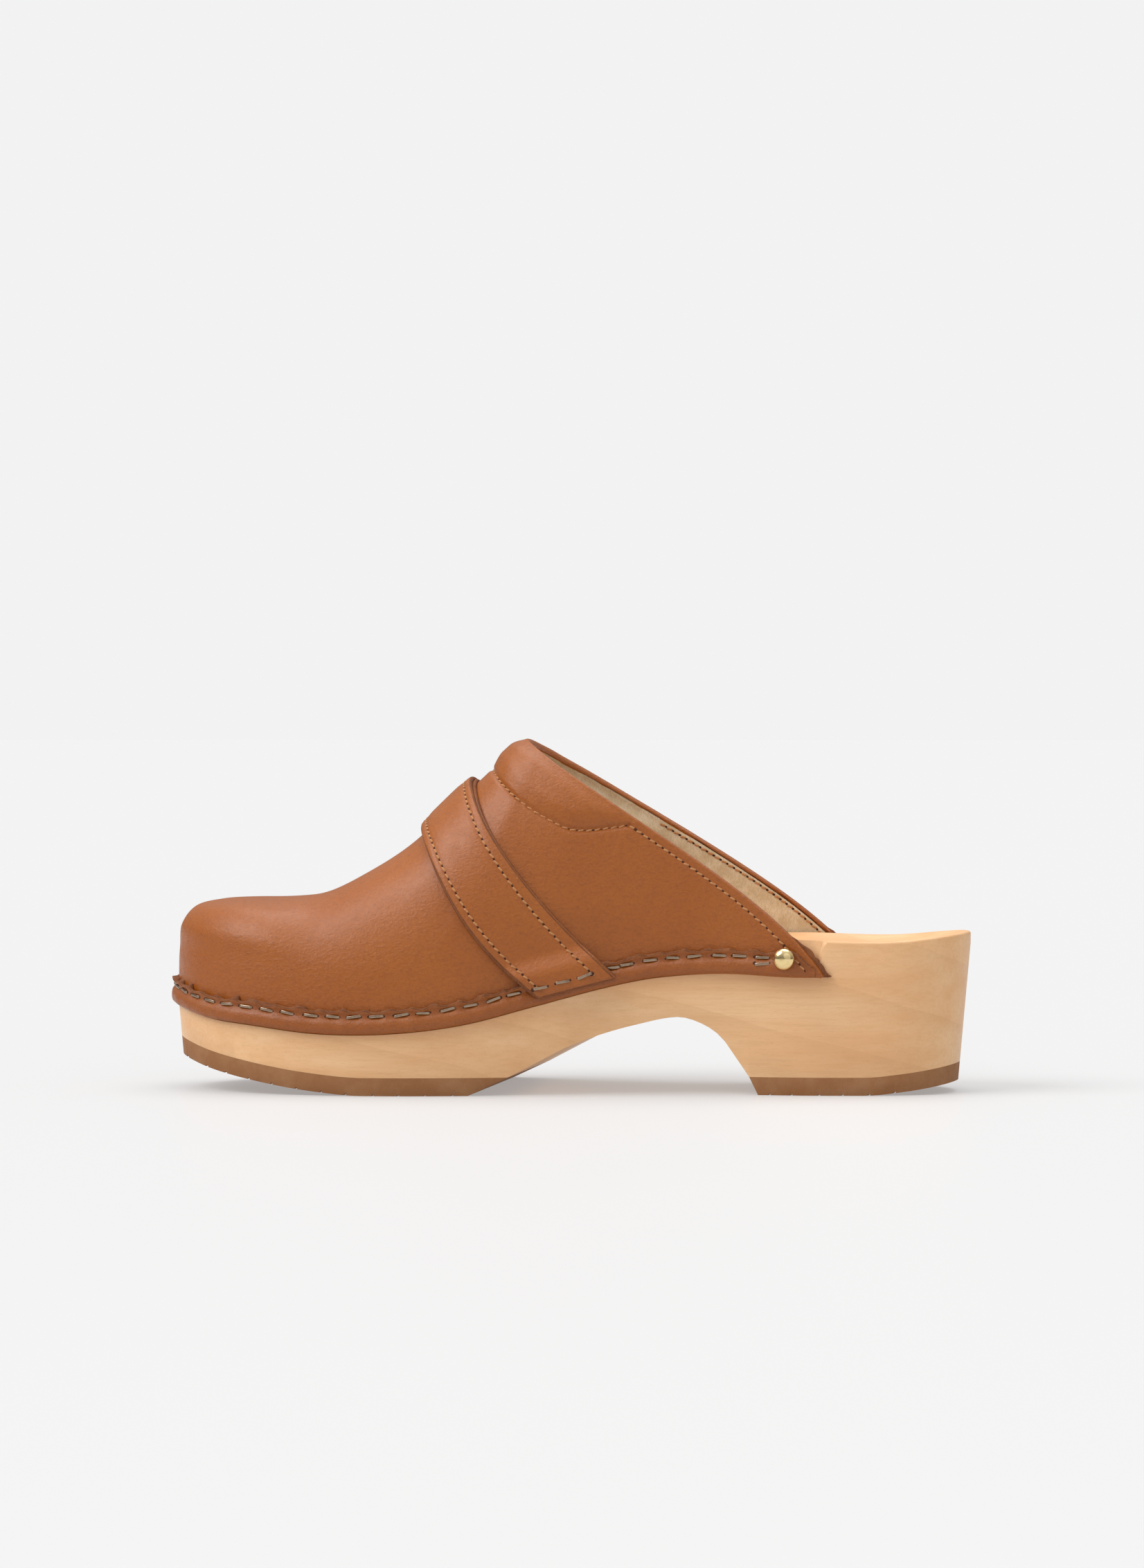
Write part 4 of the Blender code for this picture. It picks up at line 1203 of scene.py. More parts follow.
    def soften(self, block: Piece, width: float) -> None:
        """Breaks the crisp edges that the cuts left, then shades it.

        Args:
            block: the block.
            width: the broken edge's width.
        """
        with editing(block.data) as shape:
            bmesh.ops.remove_doubles(shape, verts=shape.verts, dist=0.02 * MM)
        edge = block.modifiers.new("broken_edges", "BEVEL")
        edge.width, edge.segments, edge.limit_method = width, 2, "ANGLE"
        edge.angle_limit = math.radians(32)
        edge.use_clamp_overlap = True
        bake_modifiers(block)
        block.data.shade_smooth()
        block.data.set_sharp_from_angle(angle=math.radians(40))

    def build(self) -> None:
        """Makes the block and the two treads."""
        seat, gap = self.tread, self.last.clearance
        front, rear = self.front(seat, seat), self.rear(seat, seat)
        before, behind = front[0][0] - 0.02, rear[-1][0] + 0.02
        underside = ([(before, -0.02), (before, front[0][1]), *front, (self.bevel_at(seat), seat),
                      *self.line(ARCH), (self.breast_at(seat), seat), *rear, (behind, rear[-1][1]),
                      (behind, -0.02)])
        block = self.walls("wooden_sole_planed", self.columns(), ALDER)
        self.cut(block, self.prism(underside), "DIFFERENCE")
        self.soften(block, 0.35 * MM)
        settle(block, ["wooden_sole"])
        low = seat - 0.1 * gap
        fore = [*self.front(low, low), (self.bevel_at(low), low), (self.bevel_at(0.0), 0.0),
                *reversed(self.front(0.0, 0.0))]
        heel = [(self.breast_at(0.0), 0.0), (self.breast_at(low), low), *self.rear(low, low),
                *reversed(self.rear(0.0, 0.0))]
        distance = self.last.perimeter * np.arange(self.stations) / self.stations
        sides = np.array([self.side_points(distance, np.full(len(distance), height), 0.0)
                          for height in (-0.003, 0.4 * self.last.heel_height)])
        for name, node, outline in (("forefoot_tread_moulded", "forefoot_tread", fore),
                                    ("heel_tread_moulded", "heel_tread", heel)):
            tread = self.walls(name, sides, TREAD)
            self.cut(tread, self.prism(outline), "INTERSECT")
            self.cut(tread, self.groove_tool(outline), "DIFFERENCE")
            self.soften(tread, 0.25 * MM)
            settle(tread, [node])

    def groove_tool(self, outline: Sequence[tuple[float, float]]) -> Piece:
        """Bars that cut the tread's shallow cross grooves.

        Args:
            outline: the tread's side outline.

        Returns:
            The tool.
        """
        xs = np.array([p[0] for p in outline])
        zs = np.array([p[1] for p in outline])
        wear = SmoothLine(TOE_SPRING if xs.mean() < 0.5 * self.last.length else HEEL_SPRING,
                          self.last.length, self.last.heel_height)
        reach = 0.6 * self.last.ball_width
        verts, faces = [], []
        places = np.arange(xs.min() + 0.006, xs[zs < 0.002].max() - 0.003, self.groove_pitch)
        for number, x in enumerate(places):
            x += 0.7 * MM * float(waver(np.array(number), 5, 1.0))
            base = float(wear(np.array(x)))
            for y in (-reach, reach):
                for dx, dz in ((-0.8, -2.0), (0.8, -2.0), (0.35, 0.5), (-0.35, 0.5)):
                    verts.append((x + dx * MM + self.skew * y, y, base + dz * MM))
            k = 8 * number
            faces += [tuple(k + corner for corner in face) for face in (
                (3, 2, 1, 0), (4, 5, 6, 7), (0, 1, 5, 4), (1, 2, 6, 5), (2, 3, 7, 6), (3, 0, 4, 7))]
        return mesh_object("groove_tool", np.array(verts) + self.last.origin, faces, (TREAD,))


# ---- the upper ----------------------------------------------------------------------------
COLLAR_SEAM = ((-0.0116, 1.0), (-0.0113, 0.965), (-0.0102, 0.748), (-0.0092, 0.615), (-0.0084, 0.537),
               (-0.0076, 0.482), (-0.0068, 0.443), (-0.0054, 0.427), (-0.0038, 0.425), (0.0, 0.427))


@dataclass
class SkinGrid:
    """A grid over the last's surface, welded along the ridge and at the toe."""

    last: LastShape
    hoops: Array
    fan_steps: int
    heights: Array

    def __post_init__(self) -> None:
        """Numbers the points and finds the faces, the edge and the normals."""
        last = self.last
        fan = np.linspace(0.0, last.fan_share, self.fan_steps + 1)
        ridge, _, _ = last.rib_ends(-self.hoops)
        lateral = np.clip(last.rib_of_ridge(ridge, 1.0), 0.0, 1.0)
        self.ribs = np.concatenate([-self.hoops[::-1], -fan[::-1], fan[1:], lateral])
        nq, nv = len(self.ribs), len(self.heights)
        self.q, self.v = (a.ravel() for a in np.meshgrid(self.ribs, self.heights, indexing="ij"))
        ids = np.arange(nq * nv).reshape(nq, nv)
        if self.heights[-1] >= 1.0:
            tops = np.minimum(np.arange(nq), nq - 1 - np.arange(nq))
            tops = np.minimum(tops, len(self.hoops))
            ids[:, -1] = ids[tops, -1]
        self.faces = grid_faces(ids)
        loop = np.concatenate([ids[:, 0], ids[-1, 1:], ids[0, -2:0:-1]])
        used = np.unique(ids)
        renumber = np.full(nq * nv, -1)
        renumber[used] = np.arange(len(used))
        self.faces = [tuple(int(renumber[i]) for i in face) for face in self.faces]
        self.loop = renumber[loop]
        self.q, self.v = self.q[used], self.v[used]
        self.base = last.surface(self.q, self.v)
        normals = vertex_normals(self.base, self.faces)
        if (normals[:, 2] * self.base[:, 2]).sum() < 0:
            self.faces = [tuple(reversed(face)) for face in self.faces]
            normals = -normals
        normals[:, 2] = np.where(self.v < 0.05, 0.0, normals[:, 2])
        self.normals = normals / np.linalg.norm(normals, axis=1, keepdims=True)


@dataclass
class Sewing:
    """Rows of stitches: each thread leans a little, with a needle hole between two, shown as a dark
    dimple of painted shadow.
    """

    last: LastShape
    pitch: float = 0.00265
    thread: float = 0.00072
    slant: float = math.radians(13)

    def places(self, points: Array, normals: Array, start: float, reach: float = 0.5,
               spare: int = 0) -> tuple[Array, Array, Array]:
        """Spaces stitches evenly along a row.

        Args:
            points: the row, on the leather.
            normals: outward direction at each point.
            start: where the first one is.
            reach: how far the row's direction is read, in points.
            spare: points left free at the row's end.

        Returns:
            Middles of the stitches, directions of the row and outward directions.
        """
        last = len(points) - 1
        places = along_line(points, self.pitch, start)
        places = places[places < last - spare]
        aims = at(points, np.minimum(places + reach, last)) - at(points, np.maximum(places - reach, 0))
        return at(points, places), aims, at(normals, places)

    def sew(self, name: str, rows: Sequence[tuple[Array, Array, Array]]) -> None:
        """Lays thread along rows, with a dark dimple of painted shadow at each needle hole.

        Args:
            name: what they hold.
            rows: the rows' stitches, as places gives them.
        """
        spots, aims, outs = (np.concatenate(parts) for parts in zip(*rows))
        aims = aims / np.linalg.norm(aims, axis=1, keepdims=True)
        leaning = aims * math.cos(self.slant) + np.cross(outs, aims) * math.sin(self.slant)
        thread = capsule(0.74 * self.pitch, self.thread, 0.8)
        stitches = set_on_points(f"{name}_stitches", thread, THREAD,
                                 spots + outs * 0.08 * MM + self.last.origin, leaning, outs,
                                 math.radians(5), 0.08, 3)
        settle(stitches)
        # A dark dimple between each two stitches: painted shadow inside the needle hole.
        between = spots + aims * self.pitch / 2 - outs * 0.02 * MM + self.last.origin
        hole_shadows = set_on_points(f"{name}_needle_holes", capsule(1.0 * MM, 0.85 * MM, 0.4), NEEDLE_HOLE_SHADOW,
                              between, aims, outs, 0.3, 0.15, 4)
        settle(hole_shadows)


@dataclass
class Upper:
    """The stapled leather upper: vamp, padded collar, turned-in topline, lining, stiffener and foam."""

    last: LastShape
    leather: float = 0.0016
    lining: float = 0.0010
    puff: float = 0.0008
    pad: float = 0.0023
    collar_rise: float = 0.0016
    collar_from: float = 0.775
    seam_depth: float = 0.0008
    fold_width: float = 0.0007
    over_welt: float = 0.0015
    inner_shift: float = 0.0055
    seam_soft: float = 0.0065
    edge_soft: float = 0.0055
    row_depth: float = 0.00028
    waviness: float = 0.00010

    @cached_property
    def seam(self) -> SmoothLine:
        """Height share of the collar's seam, by ridge place before the topline."""
        return SmoothLine(COLLAR_SEAM)

    def seam_rib(self, side: float) -> tuple[Array, Array]:
        """Rib numbers and heights of the collar seam, from the ridge to the topline's stitches."""
        ridge = self.last.peak + np.concatenate([np.linspace(-0.0116, -0.0100, 30),
                                                 np.linspace(-0.0099, -0.0012, 90)])
        return self.last.rib_of_ridge(ridge, side), self.seam(ridge - self.last.peak)

    def topline_rib(self, side: float) -> tuple[Array, Array]:
        """Rib numbers and heights of the topline's stitches."""
        heights = np.linspace(0.425, 0.012, 120)
        return side * (0.981 + 0.003 * np.sin(heights * 9)), heights

    @cached_property
    def trees(self) -> dict[str, KDTree]:
        """Finders of the nearest point on the seam, the topline's stitches and the topline.

        Returns:
            Finders by name.
        """
        rims = {side: (np.full(300, side), np.linspace(0, 1, 300)) for side in SIDES}
        lines = {"seam": self.seam_rib, "row": self.topline_rib, "topline": rims.get}
        return {name: finder(np.concatenate([self.last.surface(*line(side)) for side in SIDES]))
                for name, line in lines.items()}

    def distance_to(self, name: str, points: Array) -> Array:
        """Distance of points from one of the named lines."""
        return np.array([self.trees[name].find(Vector(point))[2] for point in points])

    def lift(self, q: Array, v: Array, points: Array) -> tuple[Array, Array]:
        """How far the leather's outer face stands off the last, and its grooves, at places.

        Args:
            q: rib numbers.
            v: height shares.
            points: the places themselves.

        Returns:
            Metres outwards, and metres of groove.
        """
        ridge, foot, _ = self.last.rib_ends(q)
        seam, row, topline = (self.distance_to(name, points) for name in ("seam", "row", "topline"))
        inside = (ridge - self.last.peak > -0.0117) & (v > self.seam(ridge - self.last.peak))
        swell = self.collar_rise * ease(seam, -0.001, self.seam_soft) * inside
        swell = swell * ease(topline, -0.001, self.edge_soft)
        toe = (1 - ease(foot, 0.034, 0.060)) * ease(v, 0.12, 0.3) * (1 - ease(v, 0.5, 0.8))
        out = swell + self.last.toe_bulge * toe
        x, y, z = points.T
        soft = (waver(x * 0.8 + z, 11, 0.021) + waver(x - z * 0.7 + y * 0.4, 12, 0.017)
                + 0.6 * waver(y + z * 0.5 - x * 0.3, 13, 0.011)) * self.waviness
        flex = ease(x, 0.070, 0.100) * (1 - ease(x, 0.150, 0.185))
        crease = waver(x * 0.9 - z * 0.42 + 0.8 * MM * waver(z, 15, 0.012), 14, 0.0042)
        crease = crease * self.waviness * flex
        out = out + (soft + crease) * ease(v, 0.08, 0.2)
        groove = self.seam_depth * np.exp(-(seam / (0.8 * MM)) ** 2)
        groove += self.row_depth * np.exp(-(row / (0.7 * MM)) ** 2)
        return out, groove

    def skin(self, q: Array, v: Array, extra: float = 0.0) -> tuple[Array, Array]:
        """Places on the leather's outer face, and the outward direction there.

        Args:
            q: rib numbers.
            v: height shares.
            extra: metres further out.

        Returns:
            Points and unit vectors.
        """
        base, normal = self.last.surface(q, v), self.last.normals(q, v)
        out, groove = self.lift(q, v, base)
        return base + normal * (out - groove + extra)[:, None], normal

    def shares(self, spacing: float, collar: float, last_share: float = 1.0) -> Array:
        """Hoop rib numbers: wide apart over the vamp, close over the collar.

        Args:
            spacing: metres between hoops over the vamp.
            collar: the same over the collar.
            last_share: the highest rib number.

        Returns:
            Rib numbers.
        """
        span = self.last.wing_tip_medial * self.last.length - self.last.pole
        first, seam = self.last.fan_share, self.collar_from
        wide = np.linspace(first, seam, max(int((seam - first) / 0.8 * span / spacing), 2))[1:]
        close = np.linspace(seam, last_share, int((last_share - seam) / 0.8 * span / collar))[1:]
        return np.concatenate([wide, close])

    def build(self) -> None:
        """Makes all the layers and the rows of stitches."""
        last = self.last
        heights = np.concatenate([np.linspace(0.0, 0.39, 30), np.linspace(0.39, 0.46, 20)[1:],
                                  np.linspace(0.46, 1.0, 46)[1:]])
        grid = SkinGrid(last, self.shares(1.5 * MM, 0.62 * MM), 30, heights)
        out, groove = self.lift(grid.q, grid.v, grid.base)
        outer = grid.base + grid.normals * (out - groove)[:, None]
        topline = self.distance_to("topline", grid.base)
        deep = self.leather + last.clearance + self.lining + 0.10 * MM
        ragged = self.fold_width + 0.25 * MM * waver(grid.base[:, 2] + grid.base[:, 0], 21, 0.0016)
        fold = 1 - ease(topline, ragged - 0.25 * MM, ragged + 0.25 * MM)
        inner = grid.base + grid.normals * (np.maximum(out, 0) * (1 - fold)
                                            - self.leather - (deep - self.leather) * fold)[:, None]
        shell = close_shell("upper_leather", outer + last.origin, inner + last.origin, grid.faces,
                            grid.loop, (COGNAC,) * 3, 0.4, 4)
        settle(shell, ["upper"])
        self.build_lining()
        self.build_inner_layers()
        self.build_stitches()

    def build_lining(self) -> None:
        """The suede lining, with a few soft wrinkles, ending under the turned-in leather."""
        last = self.last
        hoops = self.shares(2.6 * MM, 1.1 * MM, last_share=0.993)
        grid = SkinGrid(last, hoops, 18, np.linspace(0.0, 1.0, 56))
        ridge, foot, _ = last.rib_ends(grid.q)
        toe = (self.puff + last.clearance) * (1 - ease(foot, 0.052, 0.064)) * ease(grid.v, 0.16, 0.24)
        topline = self.distance_to("topline", grid.base)
        foam = (self.pad + last.clearance) * ease(ridge, last.peak - 0.018, last.peak - 0.014)
        foam = foam * ease(grid.v, 0.34, 0.48) * ease(topline, 0.002, 0.006)
        x, _, z = grid.base.T
        wrinkle = 0.25 * MM * np.clip(waver(x + 0.8 * z, 31, 0.006), -1.0, 0.3)
        wrinkle = wrinkle * ease(topline, 0.003, 0.008)
        face = -(self.leather + last.clearance + toe + foam) + wrinkle
        outer = grid.base + grid.normals * face[:, None]
        inner = outer - grid.normals * self.lining
        made = close_shell("suede_lining", outer + last.origin, inner + last.origin, grid.faces,
                           grid.loop, (SUEDE,) * 3, 0.5)
        settle(made, ["upper_lining"])

    def build_inner_layers(self) -> None:
        """The toe stiffener, the collar's foam and the leather facing inside the collar."""
        last = self.last
        behind = -(self.leather + last.clearance)
        foot_end = 0.052
        hoops = np.array([share for share in self.shares(3 * MM, 3 * MM)
                          if last.rib_ends(np.array([-share]))[1][0] < foot_end])
        grid = SkinGrid(last, hoops, 16, np.linspace(1 / 3, 1.0, 22))
        outer = grid.base + grid.normals * behind
        inner = outer - grid.normals * self.puff
        made = close_shell("toe_stiffener", outer + last.origin, inner + last.origin,
                           grid.faces, grid.loop, (STIFFENER,) * 3, 0.5)
        settle(made, ["toe_puff"])
        foam = self.band("collar_foam", (0.011, 0.0045), 0.56, behind, self.pad, FOAM, 0.9)
        settle(foam, ["instep_pad"])
        inside = behind - self.pad - last.clearance - self.lining - 0.15 * MM
        facing = self.band("collar_facing", (0.013, 0.0062), 0.50, inside, 0.9 * MM, FACING, 0.4)
        settle(facing)

    def band(self, name: str, reach: tuple[float, float], low: float, lift: float, thick: float,
             finish: Finish, roundness: float) -> Piece:
        """A strip over the ridge between two distances from the topline.

        Args:
            name: the piece's name.
            reach: its two ends along the ridge, before the topline.
            low: height share of its two lower ends.
            lift: its outer face, off the last.
            thick: its thickness.
            finish: its finish.
            roundness: how round its edge is.

        Returns:
            The strip.
        """
        ridges = np.linspace(self.last.peak - reach[0], self.last.peak - reach[1], 14)
        heights = np.linspace(low, 1.0, 26)
        medial, lateral = (np.array([self.last.rib_of_ridge(ridge, side) for ridge in ridges], float)
                           for side in SIDES)
        q = np.column_stack([np.tile(medial[:, None], 26), np.tile(lateral[:, None], 25)])
        v = np.tile(np.concatenate([heights, heights[-2::-1]]), (len(ridges), 1))
        base = self.last.surface(q, v)
        normal = self.last.normals(q, v)
        ids = np.arange(q.size).reshape(q.shape)
        outer = base + normal * lift
        return close_shell(name, outer + self.last.origin, outer - normal * thick + self.last.origin,
                           grid_faces(ids[::-1]), grid_loop(ids), (finish,) * 3, roundness)

    def build_stitches(self) -> None:
        """Thread and painted needle-hole shadows of the collar seam and of the topline, on both sides.
        """
        rows = [(*line(side), outside) for side in SIDES for line, outside in (
            (self.seam_rib, True), (self.topline_rib, True), (self.topline_rib, False))]
        sewing, made = Sewing(self.last), []
        for q, v, outside in rows:
            points, normals = self.skin(q, v)
            rise = self.over_welt * (1 - ease(v, 0.035, 0.090)) * (np.abs(q) > 0.9)
            points = points + normals * rise[:, None]
            if not outside:
                q = q + np.sign(q) * self.inner_shift
                depth = self.leather + self.last.clearance + self.lining
                points, normals = self.last.surface(q, v) - normals * depth, -normals
            made.append(sewing.places(points, normals, 0.5 * sewing.pitch))
        sewing.sew("upper", made)


# ---- welt, strap and fasteners ------------------------------------------------------------
@dataclass
class Welt:
    """The rolled welt: a fat bead, a stapled valley and a raw edge that puckers between staples."""

    last: LastShape
    height: float = 0.0077
    bulge: float = 0.0025
    staple_pitch: float = 0.0073
    staple_level: float = 0.74
    stud: float = 0.0070
    station: float = 0.00062
    end_gap: float = 0.0025
    staple_clear: float = 0.0029
    pucker_out: float = 0.00070
    ruffle_out: float = 0.00040
    pinch_in: float = 0.00045
    pucker_up: float = 0.00035
    ruffle_up: float = 0.00038
    pinch_down: float = 0.00030
    raw_rows: range = range(15, 19)

    def ends(self) -> tuple[float, float]:
        """Outline distances of its medial and its lateral end."""
        start, end = (self.last.plan_distance(self.last.wing_tip(side) - self.end_gap, side)
                      for side in SIDES)
        return float(start), float(end)

    def staples(self) -> Array:
        """Outline distances of the staples, a little uneven as if set by hand.

        Returns:
            A distance for each staple.
        """
        start, end = self.ends()
        beyond = 0.0095 + self.stud
        first = start + beyond
        count = int((end - beyond - first) / self.staple_pitch) + 1
        steady = first + self.staple_pitch * np.arange(count)
        places = steady + 0.55 * MM * waver(np.arange(count) * 1.0, 41, 1.0)
        for edge in self.strap_edges():
            off = places - edge
            clear = np.where(off < 0, -self.staple_clear, self.staple_clear)
            places = np.where(np.abs(off) < self.staple_clear, edge + clear, places)
        return places

    def strap_crossing(self, ridge: float, side: float) -> float:
        """Place along the shoe where a strap's edge crosses the row of staples.

        Args:
            ridge: the edge on the ridge.
            side: -1 medial, 1 lateral.

        Returns:
            X of the crossing.
        """
        heights = np.linspace(0.0, 0.4, 160)
        rib = float(np.clip(self.last.rib_of_ridge(np.array(ridge), side), -1.0, 1.0))
        x, _, z = self.last.surface(np.full(len(heights), rib), heights).T
        return float(np.interp(self.staple_level * self.height, z - self.last.ledge(x), x))

    def strap_edges(self) -> list[float]:
        """Outline distances of the four places where the strap's edges cross the staples."""
        last = self.last
        return [float(last.plan_distance(self.strap_crossing(ridge, side), side))
                for side in SIDES for ridge in (last.strap_front, last.strap_rear)]

    def against_upper(self, points: Array) -> Array:
        """Moves points onto the foot of the upper's face, so that no gap shows behind the welt.

        Args:
            points: places near it.

        Returns:
            The nearest places on it.
        """
        ribs, heights = np.linspace(-1.0, 1.0, 1400), np.linspace(0.0, 0.22, 26)
        tree = finder(self.last.surface(np.repeat(ribs, len(heights)), np.tile(heights, len(ribs))))
        return np.array([tree.find(Vector(point))[0] for point in points])

    def section(self) -> Array:
        """Section of the welt: metres outwards, metres upwards, from its back round under the bead.

        Returns:
            One row for each corner.
        """
        shares = ((0.24, 0.94), (0.24, 0.05), (0.40, 0.008), (0.66, 0.02), (0.88, 0.09), (0.985, 0.19),
                  (1.0, 0.29), (0.985, 0.39), (0.91, 0.49), (0.76, 0.575), (0.60, 0.635), (0.50, 0.69),
                  (0.47, 0.75), (0.52, 0.81), (0.62, 0.87), (0.68, 0.925), (0.66, 0.975), (0.56, 1.0),
                  (0.42, 1.0), (0.30, 0.98))
        return np.array(shares) * (self.bulge, self.height)

    def seat(self, distance: Array) -> tuple[Array, Array, Array]:
        """Foot of the welt at outline distances, its outward direction and its side.

        Args:
            distance: along the outline.

        Returns:
            Points, unit vectors and sides.
        """
        point, normal = self.last.on_plan(distance)
        side = np.where(point[:, 1] < 0, -1.0, 1.0)
        foot = point + normal * self.last.proud(point[:, 0], side)[:, None]
        height = self.last.ledge(point[:, 0]) + self.last.clearance
        return np.column_stack([foot, height]), np.column_stack([normal, np.zeros(len(normal))]), side

    def build(self) -> None:
        """Makes the welt."""
        start, end = self.ends()
        distance = np.linspace(start, end, int((end - start) / self.station))
        foot, out, _ = self.seat(distance)
        staples = self.staples()
        nearest = np.min(np.abs(distance[:, None] - staples[None, :]), axis=1)
        pinch = np.exp(-(nearest / (1.9 * MM)) ** 4)
        pucker = 1 - np.exp(-(np.maximum(nearest - 2.0 * MM, 0.0) / (0.9 * MM)) ** 2)
        ruffle = waver(distance, 51, 0.0036)
        thin = ease(np.minimum(distance - start, end - distance), 0.0, 0.0075)
        rings = []
        for number, (n, h) in enumerate(self.section()):
            share = h / self.height
            upper = float(ease(np.array(share), 0.62, 0.95)) * (number > 1)
            valley = math.exp(-((share - self.staple_level) / 0.12) ** 2) * (number > 1)
            bead = math.exp(-((share - 0.3) / 0.25) ** 2) * (number > 1)
            outward = n + upper * (self.pucker_out * pucker + self.ruffle_out * ruffle + 0.10 * MM)
            outward = outward - valley * self.pinch_in * pinch
            outward = outward + bead * (0.16 * MM * waver(distance, 52, 0.005) - 0.14 * MM * pinch)
            outward = np.maximum(outward * (0.25 + 0.75 * thin), 0.3 * MM)
            level = h + upper * (self.pucker_up * pucker + self.ruffle_up * waver(distance, 53, 0.0030)
                                 - self.pinch_down * pinch)
            level = level * (0.34 + 0.66 * thin)
            rings.append(foot + out * outward[:, None] + level[:, None] * UP)
        rows = np.array(rings)
        back = [0, 1, len(rows) - 1]
        rows[back] = self.against_upper(rows[back].reshape(-1, 3)).reshape(rows[back].shape)
        count = rows.shape[1]
        ids = np.arange(rows.shape[0] * count).reshape(rows.shape[0], count)
        ring = np.vstack([ids, ids[:1]])
        faces = grid_faces(ring)
        per_row = count - 1
        picks = [int(i // per_row in self.raw_rows) for i in range(len(faces))]
        faces += [tuple(ids[:, 0]), tuple(ids[::-1, -1])]
        picks += [1, 1]
        made = mesh_object("rolled_welt", rows.reshape(-1, 3) + self.last.origin, faces,
                           (COGNAC_WELT, CUT_EDGE), picks)
        settle(made, ["welt_strip"])


@dataclass
class Strap:
    """The two-layer instep strap, sewn along both edges and stapled down over the welt."""

    last: LastShape
    welt: Welt
    outer: float = 0.0016
    backing: float = 0.0010
    margin: float = 0.0004
    end_lift: float = 0.0024
    row_share: float = 0.105
    row_sink: float = 0.00028
    row_start: float = 0.0035

    def foot_height(self, q: float) -> float:
        """Height share where rib q crosses the strap's lower end.

        Args:
            q: a rib number.

        Returns:
            The height share.
        """
        heights = np.linspace(0.0, 0.5, 200)
        levels = self.last.surface(np.full(200, q), heights)[:, 2]
        _, foot, _ = self.last.rib_ends(np.array([q]))
        return float(np.interp(float(self.last.ledge(foot)[0]) + self.end_lift, levels, heights))

    def row(self, along: float, lift: float, steps: int) -> tuple[Array, Array]:
        """Points and outward directions across the foot, medial end first.

        Args:
            along: where the row crosses the ridge.
            lift: metres off the last.
            steps: points on each side.

        Returns:
            Points and unit vectors.
        """
        q, v = [], []
        for side in SIDES:
            rib = float(np.clip(self.last.rib_of_ridge(np.array(along), side), -1.0, 1.0))
            heights = np.linspace(self.foot_height(rib), 1.0, steps)
            q.append(np.full(steps, rib)[: steps if side < 0 else steps - 1])
            v.append(heights if side < 0 else heights[::-1][1:])
        q, v = np.concatenate(q), np.concatenate(v)
        base, normal = self.last.surface(q, v), self.last.normals(q, v)
        above = base[:, 2] - self.last.ledge(base[:, 0])
        over = (self.welt.bulge + self.last.clearance) * (
            1 - ease(above, self.welt.height + 0.0015, self.welt.height + 0.009))
        x, y, z = base.T
        soft = 0.12 * MM * waver(z + 0.6 * y + 0.4 * x, 61, 0.012) * ease(above, 0.010, 0.02)
        return base + normal * (lift + over + soft)[:, None], normal

    def layer(self, name: str, margin: float, lift: float, thick: float, node: str,
              grooves: bool) -> None:
        """One layer of the strap.

        Args:
            name: the layer's name.
            margin: metres wider than the strap at each edge.
            lift: its outer face, off the last.
            thick: its thickness.
            node: the CAD node that it stands for.
            grooves: whether its stitches pull it down.
        """
        front, rear = self.last.strap_front - margin, self.last.strap_rear + margin
        shares = np.linspace(0.0, 1.0, 41)
        rows, normals = zip(*(self.row(rear + (front - rear) * s, lift, 120) for s in shares))
        outer, normal = np.array(rows), np.array(normals)
        if grooves:
            edge = np.minimum(shares, 1 - shares)
            dip = 0.30 * MM * np.exp(-((edge - self.row_share) / 0.030) ** 2)
            crown = 0.25 * MM * ease(edge, 0.10, 0.28) - 0.25 * MM * (1 - ease(edge, 0.0, 0.06))
            outer = outer + normal * (crown - dip)[:, None, None]
        ids = np.arange(outer.shape[0] * outer.shape[1]).reshape(outer.shape[:2])
        inner = np.array(rows) - normal * thick
        made = close_shell(name, outer.reshape(-1, 3) + self.last.origin,
                           inner.reshape(-1, 3) + self.last.origin, grid_faces(ids[::-1]),
                           grid_loop(ids), (COGNAC, CUT_EDGE, FLESH_SIDE), 0.55)
        settle(made, [node])

    def build(self) -> None:
        """Makes both layers and their stitches."""
        gap = self.last.clearance
        base = gap + self.backing
        self.layer("strap_backing_leather", self.margin, base, self.backing + 0.9 * gap,
                   "strap_backing", False)
        face = base + gap + self.outer
        self.layer("strap_leather", 0.0, face, self.outer + 0.9 * gap, "instep_strap", True)
        sewing, made = Sewing(self.last), []
        width = self.last.strap_rear - self.last.strap_front
        for share in (self.row_share, 1 - self.row_share):
            row = self.row(self.last.strap_rear - width * share, face - self.row_sink, 160)
            made.append(sewing.places(*row, self.row_start, 0.6, 3))
        sewing.sew("strap", made)


